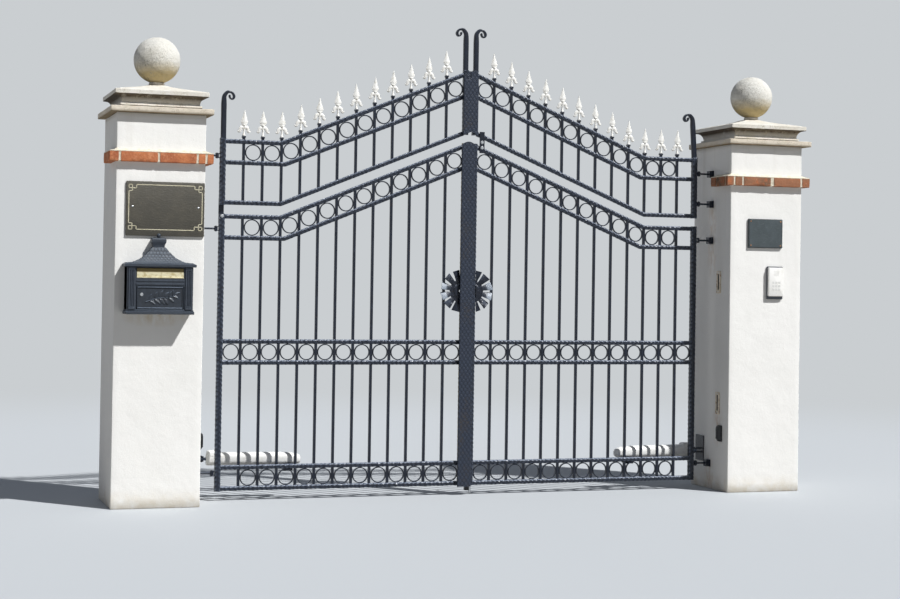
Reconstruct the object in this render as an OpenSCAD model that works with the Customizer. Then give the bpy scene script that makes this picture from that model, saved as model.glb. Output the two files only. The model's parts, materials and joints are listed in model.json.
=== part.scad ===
// Double-leaf wrought iron driveway gate between two rendered square posts.
// Millimetres. The origin is the middle of the left post's foot, +X runs to the
// right post, -Y faces the street, +Y the drive, and Z = 0 is the ground.

/* [Posts] */
// Side of the square posts
post_w = 520; // [420:10:640]
// Clear way between the two posts
clear_way = 3430; // [3000:10:3800]
// Height of the left post's shaft
post_h = 2287; // [2250:1:2400]
// How much lower the right post is
right_drop = 30; // [0:1:60]
// Side of the slab under the capstone
slab_w = 600; // [540:5:700]
// Thickness of that slab
slab_t = 34; // [20:1:60]
// Side of the capstone's top slab
cap_w = 550; // [500:5:640]
// Thickness of the capstone's edge
cap_edge = 29; // [15:1:50]
// Height of the moulding under the capstone's edge
cap_mould = 72; // [50:1:100]
// Rise of the shallow pyramid on the capstone
cap_rise = 54; // [20:1:90]
// Diameter of the ball finial
ball_d = 277; // [200:1:320]
// Height of the neck that the ball stands on
ball_neck = 14; // [6:1:30]
// How far the left ball is set off to the right
left_ball_off = 6; // [0:1:12]
// How far the right cap is set off to the right
right_cap_off = 11; // [0:1:16]
// How far the right ball is set off from its cap
right_ball_off = 10; // [0:1:12]

/* [Brick band] */
// Distance from the top of the left shaft down to the band's underside
band_down = 286; // [240:1:340]
// The same distance on the right post
right_band_down = 268; // [230:1:330]
// Height of the brick course
band_h = 61; // [50:1:75]
// How far the bricks stand out from the post
band_out = 42; // [20:1:60]
// Bare wall between the end of the band's return and the left hinge plates
band_clear = 5; // [5:1:120]
// The same distance on the right post
right_band_clear = 32; // [5:1:120]
// Rise of the sloping mortar on top of the bricks
band_fillet = 18; // [8:1:30]

/* [Post fittings] */
// Width of the name plate
name_w = 455; // [380:1:500]
// Height of the name plate
name_h = 315; // [250:1:330]
// Width of the number plate
number_w = 249; // [180:1:300]
// Height of the number plate
number_h = 189; // [140:1:240]
// Bare wall between the brick band and the name plate
name_drop = 111; // [60:1:160]
// Bare wall between the brick band and the number plate
number_drop = 213; // [140:1:260]
// Width of the intercom
intercom_w = 114; // [90:1:130]
// Height of the intercom
intercom_h = 214; // [160:1:240]
// Bare wall between the number plate and the intercom
intercom_drop = 119; // [60:1:200]
// Width of the letterbox's body
box_w = 378; // [330:1:400]
// Height of the letterbox's body
box_h = 252; // [230:1:280]
// Depth of the letterbox's body
box_d = 116; // [90:1:140]
// Height of the letterbox's curved roof
roof_h = 114; // [90:1:140]
// Height of the ridge box on that roof
ridge_h = 52; // [36:1:70]
// Gap between the ridge box and the name plate
plate_gap = 13; // [4:1:40]
// Middle height of the upper slot plate on the right post
slot_high_z = 1360; // [1280:1:1400]
// Middle height of the lower slot plate
slot_low_z = 569; // [500:1:640]
// Distance from the post's face to the middle of the slot plates
slot_in = 148; // [100:1:180]
// Middle height of the two photocells
cell_z = 375; // [365:1:430]
// Distance from the post's face to the middle of the photocells
cell_in = 104; // [80:1:130]

/* [Leaf] */
// Distance from the left post to the left leaf
reach_left = 132; // [110:1:170]
// Distance from the right post to the right leaf
reach_right = 116; // [100:1:150]
// Gap between the two meeting stiles
meet_gap = 28; // [20:1:45]
// Side of the square stiles
stile_w = 36; // [30:1:44]
// Side of the square rails
rail_w = 28; // [20:1:34]
// Side of the square infill bars
bar_w = 16; // [12:1:20]
// Outer diameter of the rings, which is the clear gap between two band rails
ring_od = 99; // [80:1:110]
// Thickness of the ring's flat bar
ring_t = 6; // [4:1:10]
// Width of the ring's flat bar
ring_b = 16; // [10:1:24]
// Middle height of the lowest rail
low_rail_z = 74; // [60:1:100]
// Middle height of the lower rail of the middle band
mid_rail_z = 831; // [600:1:1100]
// Distance from the left post's top down to the middle of the leaf's top rail, at the hinge
leaf_drop = 577; // [540:1:620]
// How many bars stand before the rails turn upwards
knee_bars = 3; // [2:1:5]
// Angle of the rising rails
rise_a = 22.3; // [16:0.1:24]

/* [Upper panel] */
// Distance from the leaf's top rail up to the upper panel's lowest rail
panel_step = 84; // [75:1:110]
// Distance from the panel's lowest rail up to its top rail at the hinge side
panel_h = 369; // [340:1:400]
// Height of the collar that each finial stands on
collar_h = 22; // [15:1:30]
// Side of that square collar
collar_w = 22; // [18:1:26]
// Straight height of the outer scroll stile above its top rail
outer_scroll_h = 227; // [180:1:300]
// Straight height of the meeting scroll stile above its top rail
meet_scroll_h = 205; // [180:1:280]
// Width of the scroll's hook
hook_w = 84; // [70:1:96]
// Height of the scroll's hook
hook_h = 54; // [44:1:64]
// How far the right leaf's outer scroll leans towards the middle
right_lean = 14; // [0:1:20]

/* [Finials] */
// Height of a fleur-de-lis finial
fleur_h = 158; // [130:1:180]
// Width across its lower leaves
fleur_w = 92; // [70:1:100]
// Thickness of the casting at its leaves
fleur_t = 12; // [8:1:16]

/* [Cover strip] */
// Width of the hammered strip over the meeting stiles
strip_w = 90; // [84:1:100]
// Width of the strip on the upper panel
strip_top_w = 99; // [92:1:106]
// Thickness of the strip
strip_t = 6; // [4:1:10]
// Packing between the strip and the stiles
strip_pack = 14; // [12:1:18]
// How far the strip stands out past the left meeting stile
strip_lap = 12; // [4:1:14]
// How far the upper strip stands out past that stile
strip_top_lap = 6; // [2:1:10]
// Rise of the lower strip's arched head
strip_crown = 21; // [8:1:24]
// Height of each packing piece
pack_h = 60; // [40:1:90]
// Distance between the packing pieces of the lower strip
pack_step = 420; // [300:10:600]
// Distance from the upper strip's head to its packing
pack_end = 50; // [40:1:90]

/* [Drop bolt] */
// Width of the bolt's housing
bolt_w = 46; // [36:1:56]
// Height of the housing's underside above the ground
bolt_z = 24; // [15:1:50]
// Height of the housing
bolt_h = 104; // [70:1:140]
// Diameter of the bolt
bolt_d = 16; // [10:1:20]
// Height of the bolt's foot above the ground when it is lifted
bolt_lift = 6; // [4:1:12]
// Length of the bolt
bolt_len = 260; // [220:5:400]

/* [Lock rosette] */
// Radius of the rosette
rose_r = 132; // [110:1:135]
// Height of its centre
rose_z = 1280; // [1100:1:1400]
// Thickness of its plate
rose_t = 5; // [3:1:7]
// How far each tab is twisted out of the plate
rose_twist = 15; // [6:1:15]
// How much of the right half is cut off where it meets its stile
rose_cut = 22; // [0:1:26]

/* [Hinges] */
// Height of the lowest hinge
hinge_low_z = 168; // [130:1:180]
// Distance from the leaf's top rail down to the middle of its upper hinge
hinge_mid_drop = 75; // [45:1:110]
// Distance from the upper panel's lowest rail up to the right leaf's extra hinge
hinge_extra_up = 81; // [50:1:120]
// Distance from the upper panel's top rail down to the top hinge
hinge_top_drop = 89; // [60:1:110]
// Distance from the stile to the hinge pin
pin_reach = 16; // [14:1:20]
// Side of the square block that carries a hinge on the post
hinge_block = 42; // [34:1:48]
// Diameter of the hinge pin
pin_d = 12; // [10:1:14]
// Clearance round the pin in its eye
pin_play = 0.3; // [0.2:0.1:0.6]

/* [Gate openers] */
// Height of the opener's centre line
ram_z = 243; // [241:1:255]
// Width of the opener's body
ram_w = 66; // [56:1:66]
// Height of the opener's body
ram_h = 80; // [72:1:84]
// Distance from the hinge line to the opener's rear pivot, along the gate
ram_back = 46; // [44:1:47]
// Distance from the gate's middle plane to the opener's rear pivot
ram_in = 110; // [105:1:118]
// Distance from the hinge line to the nose of the opener
ram_nose = 545; // [530:1:580]
// Distance from the hinge line to the carriage, along the gate
ram_grip = 470; // [450:1:475]
// Distance from the gate's middle plane to the carriage
ram_stand = 64; // [60:1:66]

/* [Hidden] */

$fn = 48;

// Posts
right_x = post_w + clear_way;
slab_top = post_h + slab_t;
cap_edge_z = slab_top + cap_mould;
cap_top_z = cap_edge_z + cap_edge + cap_rise;
neck_w = 96;
ball_sink = 3;
left_band_z = post_h - band_down;
right_band_z = post_h - right_drop - right_band_down;

// Leaf layout, measured from the outer edge of the hinge stile
leaf_w = (clear_way - reach_left - reach_right - meet_gap) / 2;
left_x0 = post_w / 2 + reach_left;
right_x0 = post_w / 2 + clear_way - reach_right;
inner_w = leaf_w - 2 * stile_w;
ring_play = 1.5;
cells = floor((inner_w + bar_w) / (ring_od + ring_play + bar_w));
bars = cells - 1;
cell = (inner_w - bars * bar_w) / cells;
pitch = cell + bar_w;
function bar_x(i) = stile_w + i * pitch - bar_w / 2;
function cell_x(i) = stile_w + i * pitch + cell / 2;
knee_x = bar_x(knee_bars);
band_pitch = ring_od + rail_w;
function rise_at(x) = x <= knee_x ? 0 : (x - knee_x) * tan(rise_a);

// Heights of the rails' middle lines at the hinge side: the leaf's foot is set from the
// ground, and its top and the upper panel hang from the post's top
low_z = [low_rail_z, low_rail_z + band_pitch];
mid_z = [mid_rail_z, mid_rail_z + band_pitch];
gate_z = post_h - leaf_drop;
panel_low_z = gate_z + panel_step;
panel_z = panel_low_z + panel_h;
stile_foot_z = low_rail_z - rail_w / 2 - 2;
gate_stile_top = gate_z + rail_w / 2 + 2;
skew = 1 / cos(rise_a);
meet_stile_top = gate_z + rise_at(leaf_w) + rail_w / 2 * skew;

// Hinges and openers, in leaf coordinates
hinge_x = -pin_reach;
lug_t = 5;
eye_h = 16;
eye_d = 22;
lug_gap = 1;
pin_end = 3;
hinge_plate = hinge_block + 4;
strip_y = -stile_w / 2 - strip_pack - strip_t;

module box(x0, x1, y0, y1, z0, z1) {
    translate([x0, y0, z0]) cube([x1 - x0, y1 - y0, z1 - z0]);
}

// A flat outline in X and Z, given a thickness from y0 to y1
module upright(y0, y1) {
    translate([0, y1, 0]) rotate([90, 0, 0]) linear_extrude(y1 - y0) children();
}

module on_left() {
    translate([left_x0, 0, 0]) children();
}

module on_right() {
    translate([right_x0, 0, 0]) mirror([1, 0, 0]) children();
}

// Posts and their caps

module post_shaft(h) {
    box(-post_w / 2, post_w / 2, -post_w / 2, post_w / 2, 0, h);
}

// One course of bricks laid round the front of a post with two short returns that end
// clear of the hinges, and a mortar fillet that slopes up from the bricks to the wall
module brick_band(z, clear) {
    half = post_w / 2;
    out = half + band_out;
    back = -hinge_plate / 2 - clear;
    top = band_h + band_fillet;
    difference() {
        translate([0, 0, z]) intersection() {
            upright(-out, back)
                polygon([[-out, 0], [out, 0], [out, band_h], [half, top], [-half, top], [-out, band_h]]);
            rotate([90, 0, 90]) linear_extrude(2 * out, center = true)
                polygon([[-out, 0], [back, 0], [back, top], [-half, top], [-out, band_h]]);
        }
        box(-half, half, -half, half + 1, z - 1, z + top + 1);
    }
}

module cap_slab(z) {
    box(-slab_w / 2, slab_w / 2, -slab_w / 2, slab_w / 2, z, z + slab_t);
}

// Half section of the capstone: hollow moulding, square edge and sloping top
function capstone_half(w) = concat(
    [[0, 0], [w - 40, 0], [w - 40, 12]],
    [for (a = [0 : 15 : 90]) [w - 40 + 26 * (1 - cos(a)), 12 + (cap_mould - 12) * sin(a)]],
    [[w, cap_mould], [w, cap_mould + cap_edge], [neck_w / 2, cap_mould + cap_edge + cap_rise],
     [0, cap_mould + cap_edge + cap_rise]]);

module capstone_outline() {
    polygon(capstone_half(cap_w / 2));
    mirror([1, 0]) polygon(capstone_half(cap_w / 2));
}

module capstone(z, ball_off) {
    translate([0, 0, z]) {
        intersection() {
            upright(-cap_w, cap_w) capstone_outline();
            rotate([0, 0, 90]) upright(-cap_w, cap_w) capstone_outline();
        }
        translate([ball_off, 0, cap_top_z - slab_top - 1]) cylinder(d = neck_w, h = ball_neck + 1);
    }
}

module ball(z) {
    difference() {
        translate([0, 0, z + ball_neck + ball_d / 2 - ball_sink]) sphere(d = ball_d);
        translate([0, 0, z]) cylinder(d = neck_w, h = ball_neck);
    }
}

module left_post() { color("whitesmoke") post_shaft(post_h); }
module left_brick_band() { color("indianred") brick_band(left_band_z, band_clear); }
module left_cap_slab() { color("wheat") cap_slab(post_h); }
module left_capstone() { color("ivory") capstone(slab_top, left_ball_off); }
module left_ball() { color("lightgray") translate([left_ball_off, 0, 0]) ball(cap_top_z); }

module right_post() { color("whitesmoke") translate([right_x, 0, 0]) post_shaft(post_h - right_drop); }
module right_brick_band() {
    color("sienna") translate([right_x, 0, 0]) brick_band(right_band_z, right_band_clear);
}
module on_right_cap() { translate([right_x + right_cap_off, 0, -right_drop]) children(); }
module right_cap_slab() { color("wheat") on_right_cap() cap_slab(post_h); }
module right_capstone() { color("ivory") on_right_cap() capstone(slab_top, right_ball_off); }
module right_ball() { color("lightgray") on_right_cap() translate([right_ball_off, 0, 0]) ball(cap_top_z); }

// Plates and boxes on the posts

plate_y = -post_w / 2;
name_z = left_band_z - name_drop - name_h;
number_z = right_band_z - number_drop - number_h;
intercom_z = number_z - intercom_drop - intercom_h;
box_top = name_z - plate_gap - ridge_h - roof_h;
box_z0 = box_top - box_h;

// A flat plate in leaf of stone with a narrow bevel round its face
module plate(x0, z0, w, h, t) {
    bevel = 3;
    intersection() {
        upright(plate_y - t, plate_y) translate([x0, z0]) square([w, h]);
        upright(plate_y - t, plate_y + 1) polygon([[x0, z0], [x0 + w, z0], [x0 + w, z0 + h], [x0, z0 + h]]);
        union() {
            box(x0, x0 + w, plate_y - t + bevel, plate_y, z0, z0 + h);
            box(x0 + bevel, x0 + w - bevel, plate_y - t, plate_y, z0 + bevel, z0 + h - bevel);
        }
    }
}

module screw_head(x, z, y) {
    translate([x, y, z]) rotate([90, 0, 0]) cylinder(d = 11, h = 2);
}

module name_plate() {
    x0 = -200;
    t = 12;
    in = 37;
    color("darkslategray") {
        plate(x0, name_z, name_w, name_h, t);
        for (x = [x0 + in, x0 + name_w - in]) screw_head(x, name_z + name_h / 2 + 12, plate_y - t);
    }
}

module number_plate() {
    x0 = -134;
    t = 14;
    in = 16;
    color("dimgray") translate([right_x, 0, 0]) {
        plate(x0, number_z, number_w, number_h, t);
        for (x = [x0 + in, x0 + number_w - in], z = [number_z + in, number_z + number_h - in])
            screw_head(x, z, plate_y - t);
    }
}

// Door station: a back box, a rounded front and a hood over the top
module intercom() {
    x0 = 6;
    w = intercom_w;
    h = intercom_h;
    t = 30;
    r = 10;
    color("white") translate([right_x + x0, plate_y, intercom_z]) difference() {
        union() {
            box(4, w - 4, -t + 6, 0, 4, h - 4);
            upright(-t, -t + 8) union() {
                translate([r, 0]) square([w - 2 * r, h]);
                translate([0, r]) square([w, h - 2 * r]);
                for (x = [r, w - r], z = [r, h - r]) translate([x, z]) circle(r = r);
            }
        }
        for (i = [0 : 4]) box(w / 2 - 22, w / 2 + 22, -t - 1, -t + 2, h - 34 - i * 8, h - 31 - i * 8);
        box(w / 2 - 30, w / 2 + 30, -t - 1, -t + 2, 26, h - 82);
    }
}

module slot_plate(y, z) {
    w = 52;
    h = 144;
    t = 6;
    face = right_x - post_w / 2;
    difference() {
        box(face - t, face, y - w / 2, y + w / 2, z - h / 2, z + h / 2);
        box(face - t - 1, face - t + 3, y - 9, y + 9, z - h / 2 + 22, z + h / 2 - 16);
    }
}

module slot_plates() {
    y = plate_y + slot_in;
    color("tan") {
        slot_plate(y, slot_high_z);
        slot_plate(y - 4, slot_low_z);
    }
}

// A rounded hood with a chamfered foot, on a flat back
module photocell_body() {
    w = 50;
    h = 105;
    d = 26;
    intersection() {
        translate([0, 0, -h / 2]) linear_extrude(h) union() {
            translate([-w / 2, 0]) square([w, d - 12]);
            intersection() {
                translate([0, d - 26]) circle(d = 52);
                translate([-w / 2, 0]) square([w, d]);
            }
        }
        rotate([90, 0, 90]) linear_extrude(w + 2, center = true)
            polygon([[0, -h / 2], [d - 12, -h / 2], [d, -h / 2 + 20],
                [d, h / 2 - 10], [d - 10, h / 2], [0, h / 2]]);
    }
}

module photocells() {
    y = plate_y + cell_in;
    color([0.1, 0.1, 0.12]) {
        translate([post_w / 2, y, cell_z]) rotate([0, 0, -90]) photocell_body();
        translate([right_x - post_w / 2, y, cell_z]) rotate([0, 0, 90]) photocell_body();
    }
}

// Letterbox: body, hipped hollow roof with its cap, door panel and flap

box_x0 = -201;
box_front = plate_y - box_d;
jamb = 52;
flap_z0 = box_top - 65;
door_z0 = box_z0 + 10;
door_z1 = box_z0 + 138;

module letterbox_body() {
    x1 = box_x0 + box_w;
    pilasters = [box_x0 + 8, x1 - 44];
    color([0.2, 0.22, 0.25]) difference() {
        union() {
            box(box_x0, x1, box_front, plate_y, box_z0 - 2, box_top);
            box(box_x0 - 8, x1 + 8, box_front - 8, plate_y, box_z0 - 20, box_z0 - 2);
            box(box_x0 - 4, x1 + 4, box_front - 4, plate_y, box_z0 - 2, box_z0 + 6);
            for (x = pilasters) box(x, x + 36, box_front - 6, box_front, box_z0 + 6, box_top);
            box(box_x0 + jamb, x1 - jamb, box_front - 5, box_front, door_z1 + 10, door_z1 + 20);
            box(box_x0 + jamb, x1 - jamb, box_front - 3, box_front, door_z1 + 30, door_z1 + 38);
        }
        box(box_x0 + jamb, x1 - jamb, box_front - 1, box_front + 10, flap_z0 - 2, box_top - 4);
        box(box_x0 + jamb, x1 - jamb, box_front - 1, box_front + 8, door_z0 - 2, door_z1 + 2);
        for (x = pilasters, i = [1 : 3])
            translate([x + i * 9, 0, 0])
                box(-2, 2, box_front - 7, box_front - 3, box_z0 + 26, box_top - 18);
    }
}

// Concave sweep of the roof from the eaves to the cap
function roof_half(w, h, top) = concat(
    [[0, 0], [w, 0], [w, 16], [w - 12, 20]],
    [for (i = [1 : 8]) [(w - 12) + (top - w + 12) * i / 8, 20 + (h - 20) * pow(i / 8, 2.4)]],
    [[0, h]]);

// Ridge box with a narrow throat and a flared head, at the back of the roof
module ridge_box(h) {
    throat = 34;
    head = 47;
    upright(-58, 0) polygon([
        [-throat, h - 1], [throat, h - 1], [throat, h + 22], [head - 2, h + 30], [head, h + ridge_h],
        [-head, h + ridge_h], [-head + 2, h + 30], [-throat, h + 22]]);
}

module letterbox_roof() {
    w = box_w / 2 + 16;
    h = roof_h;
    top = 36;
    mid = box_x0 + box_w / 2;
    d = box_d + 16;
    color([0.22, 0.25, 0.28]) translate([mid, plate_y, box_top]) union() {
        intersection() {
            upright(-d, 0) union() {
                polygon(roof_half(w, h, top));
                mirror([1, 0]) polygon(roof_half(w, h, top));
            }
            rotate([0, 0, -90]) upright(-w, w) polygon(roof_half(d, h, 52));
        }
        ridge_box(h);
        translate([0, -30, h + ridge_h - 1]) cylinder(d = 14, h = 8);
        translate([0, -30, h + ridge_h + 16]) sphere(d = 24);
    }
}

// Door with a raised border and a plain leaf sprig in relief
module letterbox_door() {
    x0 = box_x0 + jamb + 2;
    x1 = box_x0 + box_w - jamb - 2;
    y = box_front + 8;
    color([0.25, 0.27, 0.3]) union() {
        box(x0, x1, y - 5, y, door_z0, door_z1);
        difference() {
            box(x0, x1, y - 10, y - 4, door_z0, door_z1);
            box(x0 + 10, x1 - 10, y - 11, y - 3, door_z0 + 10, door_z1 - 10);
        }
        upright(y - 10, y - 4) translate([(x0 + x1) / 2, (door_z0 + door_z1) / 2]) leaf_sprig(170);
    }
}

// A branch with paired leaves
module leaf_sprig(w) {
    square([w, 5], center = true);
    for (i = [-2 : 2], s = [-1, 1])
        translate([i * w / 6 - 14, 0]) rotate(s * 55) translate([27, 0]) intersection() {
            translate([0, 22]) circle(r = 34);
            translate([0, -22]) circle(r = 34);
        }
}

module letterbox_flap() {
    x0 = box_x0 + jamb + 2;
    x1 = box_x0 + box_w - jamb - 2;
    z1 = box_top - 6;
    y = box_front + 10;
    color("khaki") union() {
        box(x0, x1, y - 6, y, flap_z0, z1);
        box(x0, x1, y - 12, y - 5, flap_z0, flap_z0 + 9);
    }
}

// Hinges: a block and rod on the post carry an eye, and two lugs on the stile carry the pin

hinge_mid_z = gate_z - hinge_mid_drop;
hinge_top_z = panel_z - hinge_top_drop;
left_hinges = [hinge_low_z, hinge_mid_z, hinge_top_z];
right_hinges = [hinge_low_z, hinge_mid_z, panel_low_z + hinge_extra_up, hinge_top_z];

module hinge_bracket(reach, z) {
    block = hinge_block / 2;
    plate = hinge_plate / 2;
    stand = 30;
    rod_d = 12;
    difference() {
        union() {
            translate([hinge_x, 0, z - eye_h / 2]) cylinder(d = eye_d, h = eye_h);
            translate([-reach + stand - 2, 0, z]) rotate([0, 90, 0])
                cylinder(d = rod_d, h = reach - stand - pin_reach - 5);
            box(-reach, -reach + stand, -block, block, z - block, z + block);
            box(-reach, -reach + 6, -plate, plate, z - plate, z + plate);
        }
        translate([hinge_x, 0, z - eye_h]) cylinder(d = pin_d + 2 * pin_play, h = 2 * eye_h);
    }
}

module hinge_lugs(z) {
    gap = eye_h / 2 + lug_gap;
    translate([hinge_x, 0, z - gap - lug_t - pin_end]) cylinder(d = pin_d, h = 2 * (gap + lug_t + pin_end));
    for (s = [-1, 1]) translate([0, 0, z + s * (gap + lug_t / 2)]) {
        translate([hinge_x, 0, -lug_t / 2]) cylinder(d = eye_d, h = lug_t);
        box(hinge_x, 0, -eye_d / 2, eye_d / 2, -lug_t / 2, lug_t / 2);
    }
}

hinge_black = [0.08, 0.08, 0.09];
module left_hinge_brackets() {
    color(hinge_black) on_left() for (z = left_hinges) hinge_bracket(reach_left, z);
}
module right_hinge_brackets() {
    color(hinge_black) on_right() for (z = right_hinges) hinge_bracket(reach_right, z);
}
module left_hinge_lugs() { color(hinge_black) on_left() for (z = left_hinges) hinge_lugs(z); }
module right_hinge_lugs() { color(hinge_black) on_right() for (z = right_hinges) hinge_lugs(z); }

// Frames of the leaves

// A rail that runs level to the knee and then rises; off lowers it square to itself
module knee_rail(z, off, x0, x1) {
    t = rail_w / 2;
    shift = tan(rise_a / 2);
    top = off - t;
    low = off + t;
    upright(-t, t) polygon([
        [x0, z - low], [knee_x + low * shift, z - low], [x1, z + rise_at(x1) - low * skew],
        [x1, z + rise_at(x1) - top * skew], [knee_x + top * shift, z - top], [x0, z - top]]);
}

module level_rail(z, x0, x1) {
    box(x0, x1, -rail_w / 2, rail_w / 2, z - rail_w / 2, z + rail_w / 2);
}

module stile(x, z0, z1) {
    box(x, x + stile_w, -stile_w / 2, stile_w / 2, z0, z1);
}

// Lower leaf: two stiles, six rails and the infill bars
module gate_frame() {
    x1 = leaf_w - stile_w;
    stile(0, stile_foot_z, gate_stile_top);
    stile(x1, stile_foot_z, meet_stile_top);
    for (z = concat(low_z, mid_z)) level_rail(z, stile_w - 1, x1 + 1);
    for (off = [0, band_pitch]) knee_rail(gate_z, off, stile_w - 1, x1 + 1);
    for (i = [1 : bars])
        box(bar_x(i) - bar_w / 2, bar_x(i) + bar_w / 2, -bar_w / 2, bar_w / 2,
            low_z[0], gate_z + rise_at(bar_x(i)));
}

// Upper panel: three rails and the bars with the collars of the finials
module panel_frame() {
    x1 = leaf_w - stile_w;
    for (off = [0, band_pitch]) knee_rail(panel_z, off, stile_w, x1);
    knee_rail(panel_low_z, 0, stile_w, x1);
    for (i = [1 : bars]) {
        x = bar_x(i);
        top = panel_z + rise_at(x);
        box(x - bar_w / 2, x + bar_w / 2, -bar_w / 2, bar_w / 2, panel_low_z + rise_at(x), finial_z(i) - 2);
        box(x - collar_w / 2, x + collar_w / 2, -collar_w / 2, collar_w / 2, top, finial_z(i));
    }
}

// Underside of the panel's lowest rail
function panel_foot_z(x) = panel_low_z + rise_at(x) - rail_w / 2 * (x <= knee_x ? 1 : skew);

// A finial stands on its collar, clear of the rising rail
function finial_z(i) = panel_z + rise_at(bar_x(i)) + rail_w / 2 + collar_h
    + (bar_x(i) > knee_x ? rail_w / 2 * (skew - 1) : 0);

module ring(x, z) {
    translate([x, ring_b / 2, z]) rotate([90, 0, 0]) difference() {
        cylinder(d = ring_od, h = ring_b);
        translate([0, 0, -1]) cylinder(d = ring_od - 2 * ring_t, h = ring_b + 2);
    }
}

// The middle of a band under a rail of middle height z, at x
function band_mid(z, x) = x <= knee_x ? z - band_pitch / 2 : z + rise_at(x) - band_pitch / 2 * skew;

module gate_rings() {
    for (i = [1 : bars]) {
        ring(cell_x(i), low_z[0] + band_pitch / 2);
        ring(cell_x(i), band_mid(gate_z, cell_x(i)));
    }
    for (i = [0 : bars]) ring(cell_x(i), mid_z[0] + band_pitch / 2);
}

module panel_rings() {
    for (i = [1 : bars]) ring(cell_x(i), band_mid(panel_z, cell_x(i)));
}

// Stiles of the upper panel, drawn out at the top and rolled into a hooked scroll

// Middle line of the hook and half its thickness: shares of the hook's width past the
// stile, of its height and of the stile's width
scroll_points = [
    [0, -0.38, 0.44], [0, 0, 0.41], [0.01, 0.38, 0.36], [0.09, 0.65, 0.32], [0.3, 0.95, 0.26],
    [0.49, 1.01, 0.19], [0.67, 0.92, 0.17], [0.82, 0.73, 0.19], [0.89, 0.5, 0.21], [0.85, 0.31, 0.2],
    [0.75, 0.2, 0.17], [0.59, 0.24, 0.13], [0.51, 0.39, 0.15], [0.49, 0.55, 0.17], [0.5, 0.65, 0.08]];
scroll_root = 0.44 * stile_w;
scroll_steps = 3;
scroll_spans = len(scroll_points) - 1;

// A smooth curve through four points, and its direction, t from the second to the third
function curve(a, b, c, d, t) =
    b + (c - a) * t / 2 + (2 * a - 5 * b + 4 * c - d) * t * t / 2 + (3 * b - a - 3 * c + d) * t * t * t / 2;
function curve_way(a, b, c, d, t) =
    (c - a) / 2 + (2 * a - 5 * b + 4 * c - d) * t + (3 * b - a - 3 * c + d) * t * t * 3 / 2;

function scroll_at(i) = let (p = scroll_points[max(0, min(scroll_spans, i))])
    [stile_w - scroll_root + p[0] * (hook_w - scroll_root), p[1] * hook_h, p[2] * stile_w];

// A point on one side of the hook, side = 1 outside and -1 inside
function scroll_edge(k, side) =
    let (i = min(scroll_spans - 1, floor(k / scroll_steps)), t = k / scroll_steps - i,
        p = curve(scroll_at(i - 1), scroll_at(i), scroll_at(i + 1), scroll_at(i + 2), t),
        w = curve_way(scroll_at(i - 1), scroll_at(i), scroll_at(i + 1), scroll_at(i + 2), t),
        long = norm([w[0], w[1]]))
    [p[0] - side * p[2] * w[1] / long, p[1] + side * p[2] * w[0] / long];

// Outline with its foot at z = 0, its outer edge near x = 0 and the hook towards +x; it
// may lean towards the hook
module scroll_outline(h, lean) {
    last = scroll_spans * scroll_steps;
    upper = concat(
        [for (k = [0 : last]) scroll_edge(k, 1)],
        [for (k = [last : -1 : 0]) scroll_edge(k, -1)]);
    polygon(concat(
        [[stile_w - 2 * scroll_root, 0]],
        [for (p = upper) [p[0] + lean * (p[1] + h) / h, p[1] + h]],
        [[stile_w, 0]]));
}

// The meeting stile's foot follows the rail that ends at it
module scroll_stiles(lean) {
    outer_top = panel_z + rail_w / 2 + 4;
    meet_top = panel_z + rise_at(leaf_w) + rail_w / 2 * skew + 2;
    x1 = leaf_w - stile_w;
    stile(0, panel_foot_z(0) - 2, outer_top);
    upright(-stile_w / 2 + 4, stile_w / 2 - 4) translate([0, outer_top - 1])
        scroll_outline(outer_scroll_h, lean);
    upright(-stile_w / 2, stile_w / 2) polygon([
        [x1, panel_foot_z(x1)], [leaf_w, panel_foot_z(leaf_w)], [leaf_w, meet_top], [x1, meet_top]]);
    upright(-stile_w / 2 + 4, stile_w / 2 - 4) translate([leaf_w, meet_top - 1]) mirror([1, 0])
        scroll_outline(meet_scroll_h, 0);
}

// Fleur-de-lis finials

// Half outline of the casting, from its foot to its tip, for a width of 1 and a height of 1
fleur_points = [
    [0, 0], [0.12, 0], [0.13, 0.03], [0.07, 0.07], [0.065, 0.17],
    [0.16, 0.15], [0.25, 0.1], [0.36, 0.09], [0.45, 0.13], [0.5, 0.2], [0.43, 0.195],
    [0.37, 0.17], [0.33, 0.19], [0.37, 0.25], [0.4, 0.31], [0.37, 0.36], [0.29, 0.38], [0.23, 0.36],
    [0.24, 0.42], [0.29, 0.46], [0.3, 0.49], [0.24, 0.5], [0.17, 0.48], [0.14, 0.5],
    [0.21, 0.55], [0.22, 0.58], [0.12, 0.82], [0, 1]];

module fleur_outline() {
    pts = [for (p = fleur_points) [p[0] * fleur_w, p[1] * fleur_h]];
    polygon(pts);
    mirror([1, 0]) polygon(pts);
}

// Flat leaves, a ridged spear blade, a band round the waist and a round stem
module fleur() {
    waist = 0.5 * fleur_h;
    half = 0.22 * fleur_w;
    upright(-fleur_t / 2, fleur_t / 2) fleur_outline();
    intersection() {
        upright(-20, 20) polygon([[-half, waist + 8], [0, waist], [half, waist + 8],
            [half, waist + 14], [0, fleur_h], [-half, waist + 14]]);
        rotate([0, 0, 45]) translate([-half * 0.8, -half * 0.8, waist])
            cube([half * 1.6, half * 1.6, fleur_h]);
        rotate([90, 0, 90]) linear_extrude(fleur_w, center = true)
            polygon([[-11, waist], [11, waist], [11, waist + 12],
                [1, fleur_h], [-1, fleur_h], [-11, waist + 12]]);
    }
    translate([0, 0, waist - 6]) cylinder(d = 0.34 * fleur_w, h = 9);
    cylinder(d1 = 20, d2 = 13, h = 16);
    translate([0, 0, 15]) cylinder(d = 13, h = waist - 20);
}

module finials() {
    for (i = [1 : bars]) translate([bar_x(i), 0, finial_z(i)]) fleur();
}

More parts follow.
